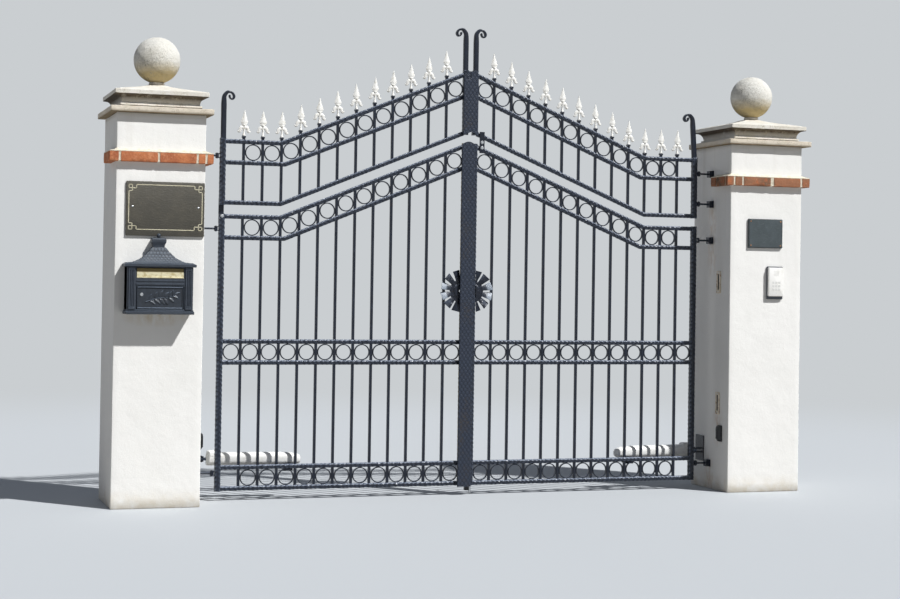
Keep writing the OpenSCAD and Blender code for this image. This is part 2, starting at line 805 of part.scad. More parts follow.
// Half rosette that covers the lock, in front of the bars: a stepped plate cut into
// six tabs, each of them twisted about its own radius; it ends at the stile's edge
module rosette(cut) {
    tabs = 6;
    step = 180 / tabs;
    root = rose_r * 0.5;
    eye = rose_r * 0.2;
    mid = bar_w / 2 + 9.5;
    x1 = leaf_w - stile_w;
    difference() {
        translate([x1 + cut, 0, rose_z]) rotate([90, 0, 0]) {
            translate([0, 0, bar_w / 2]) linear_extrude(rose_t + 3) rose_half(root * 1.1, eye);
            translate([0, 0, bar_w / 2]) linear_extrude(rose_t + 7) difference() {
                rose_half(root * 0.72, 0);
                circle(r = eye);
            }
            for (i = [0 : tabs - 1]) rotate(90 + (i + 0.5) * step)
                translate([0, 0, mid]) rotate([rose_twist, 0, 0])
                    translate([0, 0, -rose_t / 2]) linear_extrude(rose_t) rose_tab(root, step / 2 - 3.2);
        }
        box(x1, x1 + 2 * rose_r, -mid - rose_r, mid, rose_z - 2 * rose_r, rose_z + 2 * rose_r);
    }
}

module rose_half(r, hole) {
    difference() {
        circle(r = r);
        translate([0, -rose_r]) square(2 * rose_r);
        if (hole > 0) circle(r = hole);
    }
}

// A tab between two radii, narrow at its root and round at its end
module rose_tab(r0, half) {
    polygon(concat(
        [[r0, -r0 * tan(half)]],
        [for (i = [-2 : 2]) rose_r * [cos(half * i / 2), sin(half * i / 2)]],
        [[r0, r0 * tan(half)]]));
}

// A flat strap behind or in front of what it ties, with bolt heads on the street side
tie_w = 32;
bolt_head = 12;

module tie(x, z0, z1, y0, y1, bolts, head_y) {
    box(x - tie_w / 2, x + tie_w / 2, y0, y1, z0, z1);
    for (z = bolts) translate([x, head_y, z]) rotate([90, 0, 0]) cylinder(d = bolt_head, h = 5, $fn = 6);
}

// Left leaf: the panel's outer stile is strapped to the leaf's at the back
module left_tie() {
    back = stile_w / 2;
    z0 = gate_stile_top - 60;
    z1 = panel_foot_z(0) + 40;
    tie(stile_w / 2, z0, z1, back, back + 6, [gate_stile_top - 14], -back);
}

// Right leaf: a strap in front, next to the meeting stile
module right_tie() {
    x = leaf_w - stile_w - 27;
    front = -rail_w / 2;
    low = gate_z + rise_at(x);
    tie(x, low - 24, panel_low_z + rise_at(x) + 26, front - 6, front, [low + 10, low + 44], front - 6);
}

// Hammered strip over the meeting stiles, carried on packing by the left leaf

module cover_strip_lower() {
    x0 = leaf_w - stile_w - strip_lap;
    x1 = x0 + strip_w;
    z0 = stile_foot_z - 4;
    z1 = meet_stile_top - 18;
    head = [for (i = [0 : 8]) [x1 - i / 8 * strip_w, z1 + strip_crown * (1 - pow(i / 4 - 1, 2))]];
    color([0.09, 0.1, 0.13]) on_left() {
        upright(strip_y, strip_y + strip_t) polygon(concat([[x0, z0], [x1, z0]], head));
        for (z = [z0 + pack_h : pack_step : z1 - pack_h])
            box(leaf_w - stile_w + 4, leaf_w - 4, strip_y + strip_t, -stile_w / 2, z, z + pack_h);
    }
}

// Foot cut to the slope of the rails on both sides, and a head with round corners
module cover_strip_upper() {
    x0 = leaf_w - stile_w - strip_top_lap;
    x1 = x0 + strip_top_w;
    apex = leaf_w + meet_gap / 2;
    z_low = panel_foot_z(leaf_w) + 12;
    z1 = panel_z + rise_at(leaf_w) + rail_w / 2 * skew - 7;
    r = 40;
    head = concat(
        [for (a = [0 : 15 : 90]) [x1 - r + r * cos(a), z1 - r + r * sin(a)]],
        [for (a = [90 : 15 : 180]) [x0 + r + r * cos(a), z1 - r + r * sin(a)]]);
    foot = [
        [x0, z_low - (apex - x0) * tan(rise_a)], [apex, z_low],
        [x1, z_low - (x1 - apex) * tan(rise_a)]];
    color([0.09, 0.1, 0.13]) on_left() {
        upright(strip_y, strip_y + strip_t) polygon(concat(head, foot));
        for (z = [z_low + 44, z1 - pack_end - pack_h])
            box(leaf_w - stile_w + 4, leaf_w - 4, strip_y + strip_t, -stile_w / 2, z, z + pack_h);
    }
}

// Drop bolt in its housing at the back of the right meeting stile, with a bent handle
module drop_stop() {
    x = leaf_w - stile_w / 2;
    back = stile_w / 2;
    deep = bolt_d + 14;
    axis = back + deep / 2;
    bolt_x = x - bolt_w / 4;
    top = bolt_lift + bolt_len;
    color("dimgray") on_right() {
        box(x - bolt_w / 2, x + bolt_w / 2, back, back + deep, bolt_z, bolt_z + bolt_h);
        translate([bolt_x, axis, bolt_lift]) cylinder(d = bolt_d, h = bolt_len);
        box(x - bolt_w / 2, x + bolt_w / 2, back, back + deep, top - 50, top - 30);
        translate([bolt_x, axis, top - bolt_d / 2]) rotate([-90, 0, 0]) cylinder(d = bolt_d * 0.75, h = 60);
    }
}

module left_gate_frame() { color([0.07, 0.08, 0.1]) on_left() gate_frame(); }
module right_gate_frame() { color([0.07, 0.08, 0.1]) on_right() gate_frame(); }
module left_gate_rings() { color([0.08, 0.09, 0.11]) on_left() gate_rings(); }
module right_gate_rings() { color([0.08, 0.09, 0.11]) on_right() gate_rings(); }
module left_panel_frame() { color([0.07, 0.08, 0.1]) on_left() panel_frame(); }
module right_panel_frame() { color([0.07, 0.08, 0.1]) on_right() panel_frame(); }
module left_panel_rings() { color([0.08, 0.09, 0.11]) on_left() panel_rings(); }
module right_panel_rings() { color([0.08, 0.09, 0.11]) on_right() panel_rings(); }
module left_scroll_stiles() { color([0.06, 0.06, 0.07]) on_left() scroll_stiles(0); }
module right_scroll_stiles() { color([0.06, 0.06, 0.07]) on_right() scroll_stiles(right_lean); }
module left_finials() { color("white") on_left() finials(); }
module right_finials() { color("white") on_right() finials(); }
module left_rosette() { color([0.05, 0.05, 0.06]) on_left() rosette(0); }
module right_rosette() { color([0.05, 0.05, 0.06]) on_right() rosette(rose_cut); }
module left_fixings() {
    color([0.07, 0.08, 0.1]) on_left() {
        ram_lug();
        left_tie();
    }
}
module right_fixings() {
    color([0.07, 0.08, 0.1]) on_right() {
        ram_lug();
        right_tie();
    }
}

// Gate openers: a body on a post bracket, and a carriage that slides along under it

// Rear pivot and grip point in leaf coordinates, and the body's angle between them
pivot = [hinge_x - ram_back, ram_in];
grip = [hinge_x + ram_grip, ram_stand];
ram_angle = atan2(grip[1] - pivot[1], grip[0] - pivot[0]);
ram_span = norm(grip - pivot);
ram_len = ram_span * (ram_nose + ram_back) / (ram_grip + ram_back);
ram_low = ram_h / 2;
ram_tail = 30;
slot_w = 12;
slot_h = 12;
shoe = 44;
shoe_drop = 16;

module at_pivot() {
    translate([pivot[0], pivot[1], ram_z]) rotate([0, 0, ram_angle]) children();
}

// The body's section: two arcs joined by short flats, less the inset
module ram_section(inset) {
    r = ram_w / 2 - inset;
    f = (ram_h - ram_w) / 2;
    for (s = [-1, 1]) translate([s * f, 0]) circle(r = r);
    square([2 * f, 2 * r], center = true);
}

module along(x0, x1) {
    translate([x0, 0, 0]) rotate([0, 90, 0]) linear_extrude(x1 - x0) children();
}

// Body with a rounded nose, a taller rear housing and a pivot tail
module ram() {
    nose = 150;
    half = ram_w / 2;
    at_pivot() difference() {
        union() {
            along(ram_tail, ram_len - nose) ram_section(0);
            intersection() {
                along(ram_len - nose - 1, ram_len) ram_section(0);
                translate([ram_len, 0, 0]) upright(-half, half) polygon([
                    [-nose - 2, -ram_low], [-40, -ram_low], [-18, -ram_low + 4], [-5, -ram_low + 10],
                    [0, -ram_low + 18], [0, ram_low - 32], [-5, ram_low - 24], [-18, ram_low - 15],
                    [-40, ram_low - 8], [-70, ram_low - 4], [-100, ram_low - 1.5], [-nose - 2, ram_low]]);
                translate([ram_len, 0, -ram_low]) linear_extrude(ram_h) polygon([
                    [-nose - 2, -half], [-100, -half], [-60, -half + 2], [-30, -half + 7], [-10, -half + 14],
                    [0, -half + 21], [0, half - 21], [-10, half - 14], [-30, half - 7], [-60, half - 2],
                    [-100, half], [-nose - 2, half]]);
            }
            box(ram_tail, ram_tail + 58, -ram_w / 2 + 6, ram_w / 2 - 6, -8, ram_low + 12);
            box(-14, ram_tail + 4, -12, 12, -8, 8);
            translate([0, 0, -8]) cylinder(d = 32, h = 16);
        }
        translate([0, 0, -9]) cylinder(d = pin_d + 2 * pin_play, h = 18);
        box(ram_tail + 90, ram_len - 26, -slot_w / 2, slot_w / 2, -ram_low - 1, -ram_low + slot_h);
    }
}

// Carriage: a tongue in the slot with a shoe under it
module ram_carriage() {
    at_pivot() union() {
        box(ram_span - shoe / 2, ram_span + shoe / 2, -slot_w / 2 + 0.5, slot_w / 2 - 0.5,
            -ram_low - 5, -ram_low + slot_h - 0.5);
        box(ram_span - shoe / 2, ram_span + shoe / 2, -16, 16, -ram_low - shoe_drop, -ram_low - 4);
    }
}

// Bracket on the leaf: an upright on the rail's back and an arm under the carriage
module ram_lug() {
    z1 = ram_z - ram_low - shoe_drop - 7;
    box(grip[0] - 30, grip[0] + 30, rail_w / 2, rail_w / 2 + 8, z1 - 8, low_z[1] + rail_w / 2);
    box(grip[0] - 22, grip[0] + 22, rail_w / 2, grip[1] + 20, z1 - 8, z1);
}

// Bracket on the post: a back plate and two arms with the pivot pin between them
module ram_bracket(reach) {
    x0 = -reach;
    x1 = pivot[0];
    union() {
        box(x0, x0 + 5, pivot[1] - 37, pivot[1] + 76, ram_z - 70, ram_z + 98);
        for (z = [ram_z - 16, ram_z + 9]) {
            box(x0, x1, pivot[1] - 16, pivot[1] + 16, z, z + 7);
            translate([x1, pivot[1], z]) cylinder(d = 32, h = 7);
        }
        translate([x1, pivot[1], ram_z - 20]) cylinder(d = pin_d, h = 40);
    }
}

module left_ram() { color("whitesmoke") on_left() ram(); }
module right_ram() { color("whitesmoke") on_right() ram(); }
module left_ram_carriage() { color("darkgray") on_left() ram_carriage(); }
module right_ram_carriage() { color("darkgray") on_right() ram_carriage(); }
module left_ram_bracket() { color([0.15, 0.15, 0.17]) on_left() ram_bracket(reach_left); }
module right_ram_bracket() { color([0.15, 0.15, 0.17]) on_right() ram_bracket(reach_right); }

left_post();
left_brick_band();
left_cap_slab();
left_capstone();
left_ball();
right_post();
right_brick_band();
right_cap_slab();
right_capstone();
right_ball();
name_plate();
number_plate();
intercom();
slot_plates();
photocells();
letterbox_body();
letterbox_roof();
letterbox_door();
letterbox_flap();
left_hinge_brackets();
right_hinge_brackets();
left_ram_bracket();
right_ram_bracket();
left_gate_frame();
left_gate_rings();
left_panel_frame();
left_panel_rings();
left_scroll_stiles();
left_finials();
left_rosette();
left_hinge_lugs();
left_fixings();
cover_strip_lower();
cover_strip_upper();
drop_stop();
right_gate_frame();
right_gate_rings();
right_panel_frame();
right_panel_rings();
right_scroll_stiles();
right_finials();
right_rosette();
right_hinge_lugs();
right_fixings();
left_ram();
right_ram();
left_ram_carriage();
right_ram_carriage();
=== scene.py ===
"""Finish of a double-leaf wrought iron driveway gate between two rendered posts.

Metres. X runs from the left post to the right one, -Y faces the street and Z is up.
"""

import json
import math

import bmesh
import bpy
import numpy as np
from mathutils import Matrix, Vector

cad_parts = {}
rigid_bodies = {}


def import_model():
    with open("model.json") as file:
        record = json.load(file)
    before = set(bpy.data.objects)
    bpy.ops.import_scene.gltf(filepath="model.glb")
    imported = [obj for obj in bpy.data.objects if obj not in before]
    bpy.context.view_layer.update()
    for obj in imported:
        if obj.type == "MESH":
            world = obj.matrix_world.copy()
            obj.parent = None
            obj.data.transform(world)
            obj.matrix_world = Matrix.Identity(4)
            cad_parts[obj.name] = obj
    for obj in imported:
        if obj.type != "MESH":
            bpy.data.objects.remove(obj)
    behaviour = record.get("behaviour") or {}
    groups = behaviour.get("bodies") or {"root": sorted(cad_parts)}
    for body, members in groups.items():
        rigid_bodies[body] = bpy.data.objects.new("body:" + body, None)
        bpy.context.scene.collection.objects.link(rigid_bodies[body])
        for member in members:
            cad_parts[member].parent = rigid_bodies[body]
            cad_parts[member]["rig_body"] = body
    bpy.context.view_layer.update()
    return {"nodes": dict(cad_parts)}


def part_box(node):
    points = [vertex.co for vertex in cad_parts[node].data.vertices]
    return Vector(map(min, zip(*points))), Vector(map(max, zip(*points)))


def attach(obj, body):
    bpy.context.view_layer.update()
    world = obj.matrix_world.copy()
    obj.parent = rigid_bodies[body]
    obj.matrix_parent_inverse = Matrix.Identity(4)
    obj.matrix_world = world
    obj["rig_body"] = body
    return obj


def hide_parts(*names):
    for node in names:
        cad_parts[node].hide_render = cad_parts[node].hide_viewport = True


bl_info = {
    "name": "Wrought iron driveway gate",
    "version": (1, 1, 0),
    "blender": (4, 5, 0),
    "location": "View3D > Sidebar > Gate",
    "description": "Builds the finish of a driveway gate with rendered posts round its solid model",
    "category": "Add Mesh",
}

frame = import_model()

# Places that come from the solid model
LEFT_LEAF_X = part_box("left_gate_frame")[0].x
RIGHT_LEAF_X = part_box("right_gate_frame")[1].x
LEAF_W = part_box("left_gate_frame")[1].x - LEFT_LEAF_X
SIDES = ("left", "right")
POST_X = {side: (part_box(side + "_post")[0].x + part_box(side + "_post")[1].x) / 2 for side in SIDES}
POST_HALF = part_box("left_post")[1].x - POST_X["left"]


def linear(code):
    """Turns an sRGB hex colour into Blender's linear colour."""
    parts = [int(code[i:i + 2], 16) / 255 for i in (0, 2, 4)]
    return tuple(p / 12.92 if p <= 0.04045 else ((p + 0.055) / 1.055) ** 2.4 for p in parts) + (1.0,)


def mm(values):
    """Millimetres as metres."""
    return np.asarray(values, float) / 1000


# Sizes and colours that a user may change

def length(name, text, default):
    """A property for a size in metres."""
    return bpy.props.FloatProperty(
        name=name, description=text, default=default, unit="LENGTH", subtype="DISTANCE")


def colour(name, text, code):
    """A property for a colour, given as sRGB hex."""
    return bpy.props.FloatVectorProperty(
        name=name, description=text, default=linear(code)[:3], subtype="COLOR", min=0, max=1)


class GateSizes(bpy.types.PropertyGroup):
    """Sizes of the ironwork"""
    stile: length("Stile", "Side of the square stiles", 0.036)
    rail: length("Rail", "Side of the square rails", 0.028)
    bar: length("Bar", "Side of the square infill bars", 0.016)
    low_rail: length("Lowest rail", "Middle height of the lowest rail", 0.074)
    mid_rail: length("Middle rail", "Middle height of the lower rail of the middle band", 0.831)
    leaf_top: length("Leaf top", "Middle height of the lower leaf's top rail at the hinge", 1.710)
    panel_low: length("Panel foot", "Middle height of the upper panel's lowest rail at the hinge", 1.794)
    panel_top: length("Panel top", "Middle height of the upper panel's top rail at the hinge", 2.163)
    ring_outer: length("Ring", "Outer diameter of the rings in the bands", 0.099)
    ring_thick: length("Ring bar", "Thickness of the rings' flat bar", 0.006)
    ring_deep: length("Ring depth", "Width of the rings' flat bar", 0.016)
    outer_scroll: length("Outer scroll", "Straight height of the outer stile's scroll", 0.227)
    meet_scroll: length("Meeting scroll", "Straight height of the meeting stile's scroll", 0.205)
    hook_w: length("Hook width", "Width of a scroll's hook", 0.084)
    hook_h: length("Hook height", "Height of a scroll's hook", 0.054)
    lean: length("Lean", "How far the right leaf's outer scroll leans towards the middle", 0.014)
    dent_pitch: length("Hammer pitch", "Distance between the hammer's dents along an edge", 0.028)
    dent_depth: length("Hammer depth", "Depth of the hammer's dents in an edge", 0.0033)
    rose: length("Rosette", "Radius of the rosette over the lock", 0.132)
    rose_z: length("Rosette height", "Height of the rosette's middle", 1.280)
    scale_row: length("Scale row", "Height of one row of scales on the cover strip", 0.019)
    scale_wide: length("Scale width", "Width of one scale on the cover strip", 0.026)
    rise: bpy.props.FloatProperty(
        name="Rise", description="Angle of the rising rails", default=math.radians(22.3), unit="ROTATION")
    knee_bars: bpy.props.IntProperty(
        name="Knee", description="Bars before the rails turn upwards", default=3, min=1)
    bars: bpy.props.IntProperty(
        name="Bars", description="Infill bars in each leaf", default=12, min=4, max=40)


class GateColours(bpy.types.PropertyGroup):
    """Colours of the main finishes"""
    render: colour("Render", "Masonry paint on the posts", "F3F2EE")
    iron: colour("Iron", "Gate paint on the wrought iron", "161B26")
    finial: colour("Finial", "White paint on the cast finials", "F0EFEA")
    brick: colour("Brick", "Left post's brick", "C87D50")
    brick_right: colour("Right brick", "Right post's brick", "A16C4D")
    floor: colour("Floor", "Studio floor and background", "CACED1")


# Small helpers for meshes

class Form:
    """Collects closed shells and makes one mesh of them."""

    def __init__(self):
        self.points, self.faces, self.slots, self.tones, self.count = [], [], [], [], 0

    def add(self, shell, slot=0, tone=0.0):
        points = np.asarray(shell[0], float).reshape(-1, 3)
        self.points.append(points)
        self.faces += [tuple(i + self.count for i in f) for f in shell[1]]
        self.slots += [slot] * len(shell[1])
        self.tones += list(np.broadcast_to(tone, len(points)))
        self.count += len(points)
        return self

    def piece(self, name, body, coats, replaces=(), slot=None, sharp=35):
        """Makes the mesh, with its materials named in one string."""
        mesh = bpy.data.meshes.new(name)
        mesh.from_pydata(np.concatenate(self.points).tolist(), [], self.faces)
        if any(self.tones):
            mesh.attributes.new("tone", "FLOAT", "POINT").data.foreach_set("value", self.tones)
        for coat in coats.split():
            mesh.materials.append(material(coat))
        mesh.polygons.foreach_set("material_index", self.slots)
        return settle(name, mesh, body, replaces, slot, sharp)


def settle(name, mesh, body, replaces=(), slot=None, sharp=35):
    """Shades a mesh, puts it in the scene and makes it ride on its body."""
    mesh.update()
    mesh.polygons.foreach_set("use_smooth", [True] * len(mesh.polygons))
    mesh.set_sharp_from_angle(angle=math.radians(sharp))
    obj = bpy.data.objects.new(name, mesh)
    bpy.context.scene.collection.objects.link(obj)
    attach(obj, body)
    if replaces:
        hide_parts(*replaces)
    return obj


def model(name, form, coat):
    """A model that a tree copies, kept out of the finished object."""
    obj = form.piece(name, "posts", coat)
    obj.parent = None
    del obj["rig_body"]
    return obj


def turned_over(shell):
    """A shell with its faces turned round."""
    return shell[0], [tuple(reversed(f)) for f in shell[1]]


def mirrored(shell, middle):
    """A shell reflected in X about a place, its faces still outwards."""
    points = np.array(shell[0], float)
    points[:, 0] = 2 * middle - points[:, 0]
    return turned_over((points, shell[1]))


def outward(shell):
    """Turns a shell's faces outwards if its volume is negative."""
    p = np.asarray(shell[0])
    volume = sum(np.dot(p[q[0]], np.cross(p[q[i]], p[q[i + 1]]))
                 for q in shell[1] for i in range(1, len(q) - 1))
    return (p, shell[1]) if volume > 0 else turned_over((p, shell[1]))


def loft(rings, closed=False):
    """A shell through rings of equal count; open ends get caps."""
    rings = np.asarray(rings, float)
    n, k = rings.shape[:2]
    faces = [(a * k + i, a * k + (i + 1) % k, b * k + (i + 1) % k, b * k + i)
             for a, b in [(r, (r + 1) % n) for r in range(n if closed else n - 1)] for i in range(k)]
    if not closed:
        faces += [tuple(range(k - 1, -1, -1)), tuple(range((n - 1) * k, n * k))]
    return rings.reshape(-1, 3), faces


def block(lo, hi, cut=0.001):
    """A box with cut edges."""
    (x0, y0, z0), (x1, y1, z1) = lo, hi
    def ring(z, s):
        a, b, c, d, t = x0 + s, x1 - s, y0 + s, y1 - s, cut
        return [(a + t, c, z), (b - t, c, z), (b, c + t, z), (b, d - t, z),
                (b - t, d, z), (a + t, d, z), (a, d - t, z), (a, c + t, z)]
    return loft([ring(z0, cut), ring(z0 + cut, 0), ring(z1 - cut, 0), ring(z1, cut)])


def turned(profile, centre, axis="Z", sides=24, start=0.0):
    """A turned shell from (radius, height) pairs about an axis through a centre."""
    rings = []
    for r, h in profile:
        a = start + np.arange(sides) * 2 * math.pi / sides
        u, v, w = max(r, 1e-5) * np.cos(a), max(r, 1e-5) * np.sin(a), np.full(sides, h)
        point = {"Z": (u, v, w), "Y": (v, w, u), "X": (w, u, v)}[axis]
        rings.append(np.stack(point, 1) + np.asarray(centre))
    return loft(rings)


def pin(centre, r, lo, hi, axis="Z", sides=20, cut=0.0008):
    """A rod with chamfered ends."""
    return turned([(r - cut, lo), (r, lo + cut), (r, hi - cut), (r - cut, hi)], centre, axis, sides)


# Outlines of a bar's section, as shares of its half width and half depth
SQUARE_BAR = [(1, -0.62), (1, 0.62), (0.9, 0.88), (0.62, 1), (-0.62, 1), (-0.9, 0.88), (-1, 0.62),
              (-1, -0.62), (-0.9, -0.88), (-0.62, -1), (0.62, -1), (0.9, -0.88)]
ROUND_BAR = [(1, -0.35), (1, 0.35), (0.45, 1), (-0.45, 1), (-1, 0.35), (-1, -0.35), (-0.45, -1),
             (0.45, -1)]


def sweep(path, across, deep, shape):
    """A bar along a path in X and Z: half widths across the path and half depths in Y."""
    path = np.asarray(path, float)
    step = np.gradient(path, axis=0)
    step /= np.linalg.norm(step, axis=1)[:, None]
    side = np.stack([-step[:, 1], step[:, 0]], 1)
    across, deep = np.broadcast_to(across, len(path)), np.broadcast_to(deep, len(path))
    return loft([[(p[0] + s[0] * a * u, d * v, p[1] + s[1] * a * u) for u, v in shape]
                 for p, s, a, d in zip(path, side, across, deep)])


def smooth_path(points, count):
    """Points evenly along a smooth curve through the given ones."""
    p = np.asarray(points, float)
    p = np.concatenate([[2 * p[0] - p[1]], p, [2 * p[-1] - p[-2]]])
    out = []
    for t in np.linspace(0, len(points) - 1.0001, count):
        i, f = int(t), t - int(t)
        a, b, c, d = p[i:i + 4]
        out.append(0.5 * (2 * b + (c - a) * f + (2 * a - 5 * b + 4 * c - d) * f * f
                          + (3 * b - a - 3 * c + d) * f ** 3))
    return np.array(out)


def lumps(points, size, seed=0):
    """Smooth noise between -1 and 1 at each point, with lumps of about that size."""
    p = np.asarray(points, float) / size + 17.3 * (seed + 1)
    cell = np.floor(p).astype(np.int64)
    f = p - cell
    f = f * f * (3 - 2 * f)
    total = np.zeros(len(p))
    for dx in (0, 1):
        for dy in (0, 1):
            for dz in (0, 1):
                n = ((cell[:, 0] + dx) * 73856093 ^ (cell[:, 1] + dy) * 19349663
                     ^ (cell[:, 2] + dz) * 83492791)
                n = (n ^ (n >> 13)) * 1274126177 & 0x7FFFFFFF
                w = np.where(dx, f[:, 0], 1 - f[:, 0]) * np.where(dy, f[:, 1], 1 - f[:, 1])
                total += w * np.where(dz, f[:, 2], 1 - f[:, 2]) * (n % 65536) / 32768.0
    return total - 1


def squared(half, z, cut, sides=14, bow=3):
    """A square ring with rounded corners, its sides split for unevenness."""
    flat = np.linspace(-(half - cut), half - cut, sides + 1)
    turn = [math.pi / 2 * i / bow for i in range(1, bow)]
    ring = []
    for q in range(4):
        pts = [(t, -half) for t in flat] + [
            (half - cut + cut * math.sin(a), -(half - cut) - cut * math.cos(a)) for a in turn]
        c, s = round(math.cos(q * math.pi / 2)), round(math.sin(q * math.pi / 2))
        ring += [(x * c - y * s, x * s + y * c, z) for x, y in pts]
    return ring


def worn(shell, depth, sizes, hold=None, seed=0):
    """Pushes a shell's points towards its middle axis by uneven wear, never outwards."""
    points, faces = np.array(shell[0], float), shell[1]
    centre = (points.max(0) + points.min(0)) / 2
    inward = centre - points
    inward[:, 2] *= 0.15
    inward /= np.maximum(np.linalg.norm(inward, axis=1), 1e-6)[:, None]
    amount = sum(d * (0.5 + 0.5 * lumps(points, s, seed + i)) for i, (d, s) in enumerate(zip(depth, sizes)))
    if hold is not None:
        amount = amount * hold(points)
    return points + inward * amount[:, None], faces


def moved(shell, x):
    """A shell moved along X."""
    return np.asarray(shell[0], float) + (x, 0, 0), shell[1]


def on_leaf(shell, side):
    """Moves a shell from leaf coordinates to its leaf: the right leaf is the left one mirrored."""
    return moved(shell, LEFT_LEAF_X) if side == "left" else mirrored(shell, RIGHT_LEAF_X / 2)


def cut_off(shell, x):
    """Cuts a closed shell off beyond a place in X and closes it again."""
    mesh = bmesh.new()
    verts = [mesh.verts.new(p) for p in shell[0]]
    for f in shell[1]:
        mesh.faces.new([verts[i] for i in f])
    cut = bmesh.ops.bisect_plane(mesh, geom=mesh.verts[:] + mesh.edges[:] + mesh.faces[:],
                                 plane_co=(x, 0, 0), plane_no=(1, 0, 0), clear_outer=True)["geom_cut"]
    bmesh.ops.edgeloop_fill(mesh, edges=[g for g in cut if isinstance(g, bmesh.types.BMEdge)])
    mesh.verts.index_update()
    result = [tuple(v.co) for v in mesh.verts], [tuple(v.index for v in f.verts) for f in mesh.faces]
    mesh.free()
    return result


# Small helpers for materials and node trees

def add(tree, kind, values=None, **settings):
    """Adds one node, sets its properties, and fills or links its inputs."""
    node = tree.nodes.new(kind)
    for key, value in settings.items():
        setattr(node, key, value)
    for key, value in (values or {}).items():
        if isinstance(value, bpy.types.Node):
            value = value.outputs[0]
        if isinstance(value, bpy.types.NodeSocket):
            tree.links.new(value, node.inputs[key])
        else:
            node.inputs[key].default_value = value
    return node


class Coat:
    """A new material, with the masks by which its colours are laid over each other."""

    def __init__(self, name, rough, metallic=0.0, **shader_values):
        self.made = bpy.data.materials.new(name)
        self.made.use_nodes = True
        self.tree = self.made.node_tree
        self.shader = self.tree.nodes["Principled BSDF"]
        for key, value in dict(shader_values, Roughness=rough, Metallic=metallic).items():
            self.shader.inputs[key.replace("_", " ")].default_value = value
        self.place = add(self.tree, "ShaderNodeTexCoord").outputs["Object"]

    def patches(self, size, low, high, seed=0.0, detail=4.0, stretch=(1, 1, 1)):
        """A mask, 0 to 1, of soft patches of about that size in metres."""
        at = add(self.tree, "ShaderNodeMapping",
                 {"Vector": self.place, "Location": (seed, seed * 2, seed * 3), "Scale": stretch})
        cloud = add(self.tree, "ShaderNodeTexNoise",
                    {"Vector": at, "Scale": 1 / size, "Detail": detail, "Roughness": 0.6})
        return add(self.tree, "ShaderNodeMapRange", {0: cloud, 1: low, 2: high})

    def band(self, axis, full, none):
        """A mask that is 1 at one place along an axis and fades to 0 at another."""
        along = add(self.tree, "ShaderNodeSeparateXYZ", {0: self.place}).outputs["XYZ".index(axis)]
        return add(self.tree, "ShaderNodeMapRange", {0: along, 1: none, 2: full})

    def near(self, centre, reach, stretch=(1, 1, 1)):
        """A mask that is 1 at a point and fades to 0 at a distance."""
        offset = add(self.tree, "ShaderNodeVectorMath", {0: self.place, 1: centre}, operation="SUBTRACT")
        scaled = add(self.tree, "ShaderNodeVectorMath", {0: offset, 1: stretch}, operation="MULTIPLY")
        far = add(self.tree, "ShaderNodeVectorMath", {0: scaled}, operation="LENGTH").outputs["Value"]
        return add(self.tree, "ShaderNodeMapRange", {0: far, 1: reach, 2: 0.0})

    def facing(self, axis, low, high):
        """A mask of the faces that look along an axis."""
        normal = add(self.tree, "ShaderNodeNewGeometry").outputs["Normal"]
        along = add(self.tree, "ShaderNodeVectorMath", {0: normal, 1: axis}, operation="DOT_PRODUCT")
        return add(self.tree, "ShaderNodeMapRange", {0: along.outputs["Value"], 1: low, 2: high})

    def lay(self, base, layers, bumps=(), rough=None):
        """Lays colours over a base by their masks, chains bumps and spreads the roughness by a mask."""
        for *masks, top in layers:
            mask = masks[0]
            for other in masks[1:]:
                mask = add(self.tree, "ShaderNodeMath", {0: mask, 1: other}, operation="MULTIPLY")
            mixed = add(self.tree, "ShaderNodeMix", {0: mask, 6: base, 7: linear(top)}, data_type="RGBA")
            base = mixed.outputs[2]
        self.tree.links.new(base, self.shader.inputs["Base Color"])
        normal = {}
        for height, depth in bumps:
            bump = add(self.tree, "ShaderNodeBump",
                       {"Height": height, "Distance": depth, "Strength": 1.0, **normal})
            normal = {"Normal": bump.outputs[0]}
            self.tree.links.new(bump.outputs[0], self.shader.inputs["Normal"])
        if rough:
            mask, low, high = rough
            spread = add(self.tree, "ShaderNodeMapRange", {0: mask, 3: low, 4: high})
            self.tree.links.new(spread.outputs[0], self.shader.inputs["Roughness"])
        return self.made


def chosen(name):
    """A colour of the user's, with its alpha."""
    return tuple(getattr(bpy.context.scene.gate_colours, name)) + (1,)


# Materials, kept by name so that each is made once

MADE = {}


def material(name):
    """A finish by its name in COATS."""
    if name not in MADE:
        maker, *values = COATS[name]
        MADE[name] = maker(*values)
    return MADE[name]


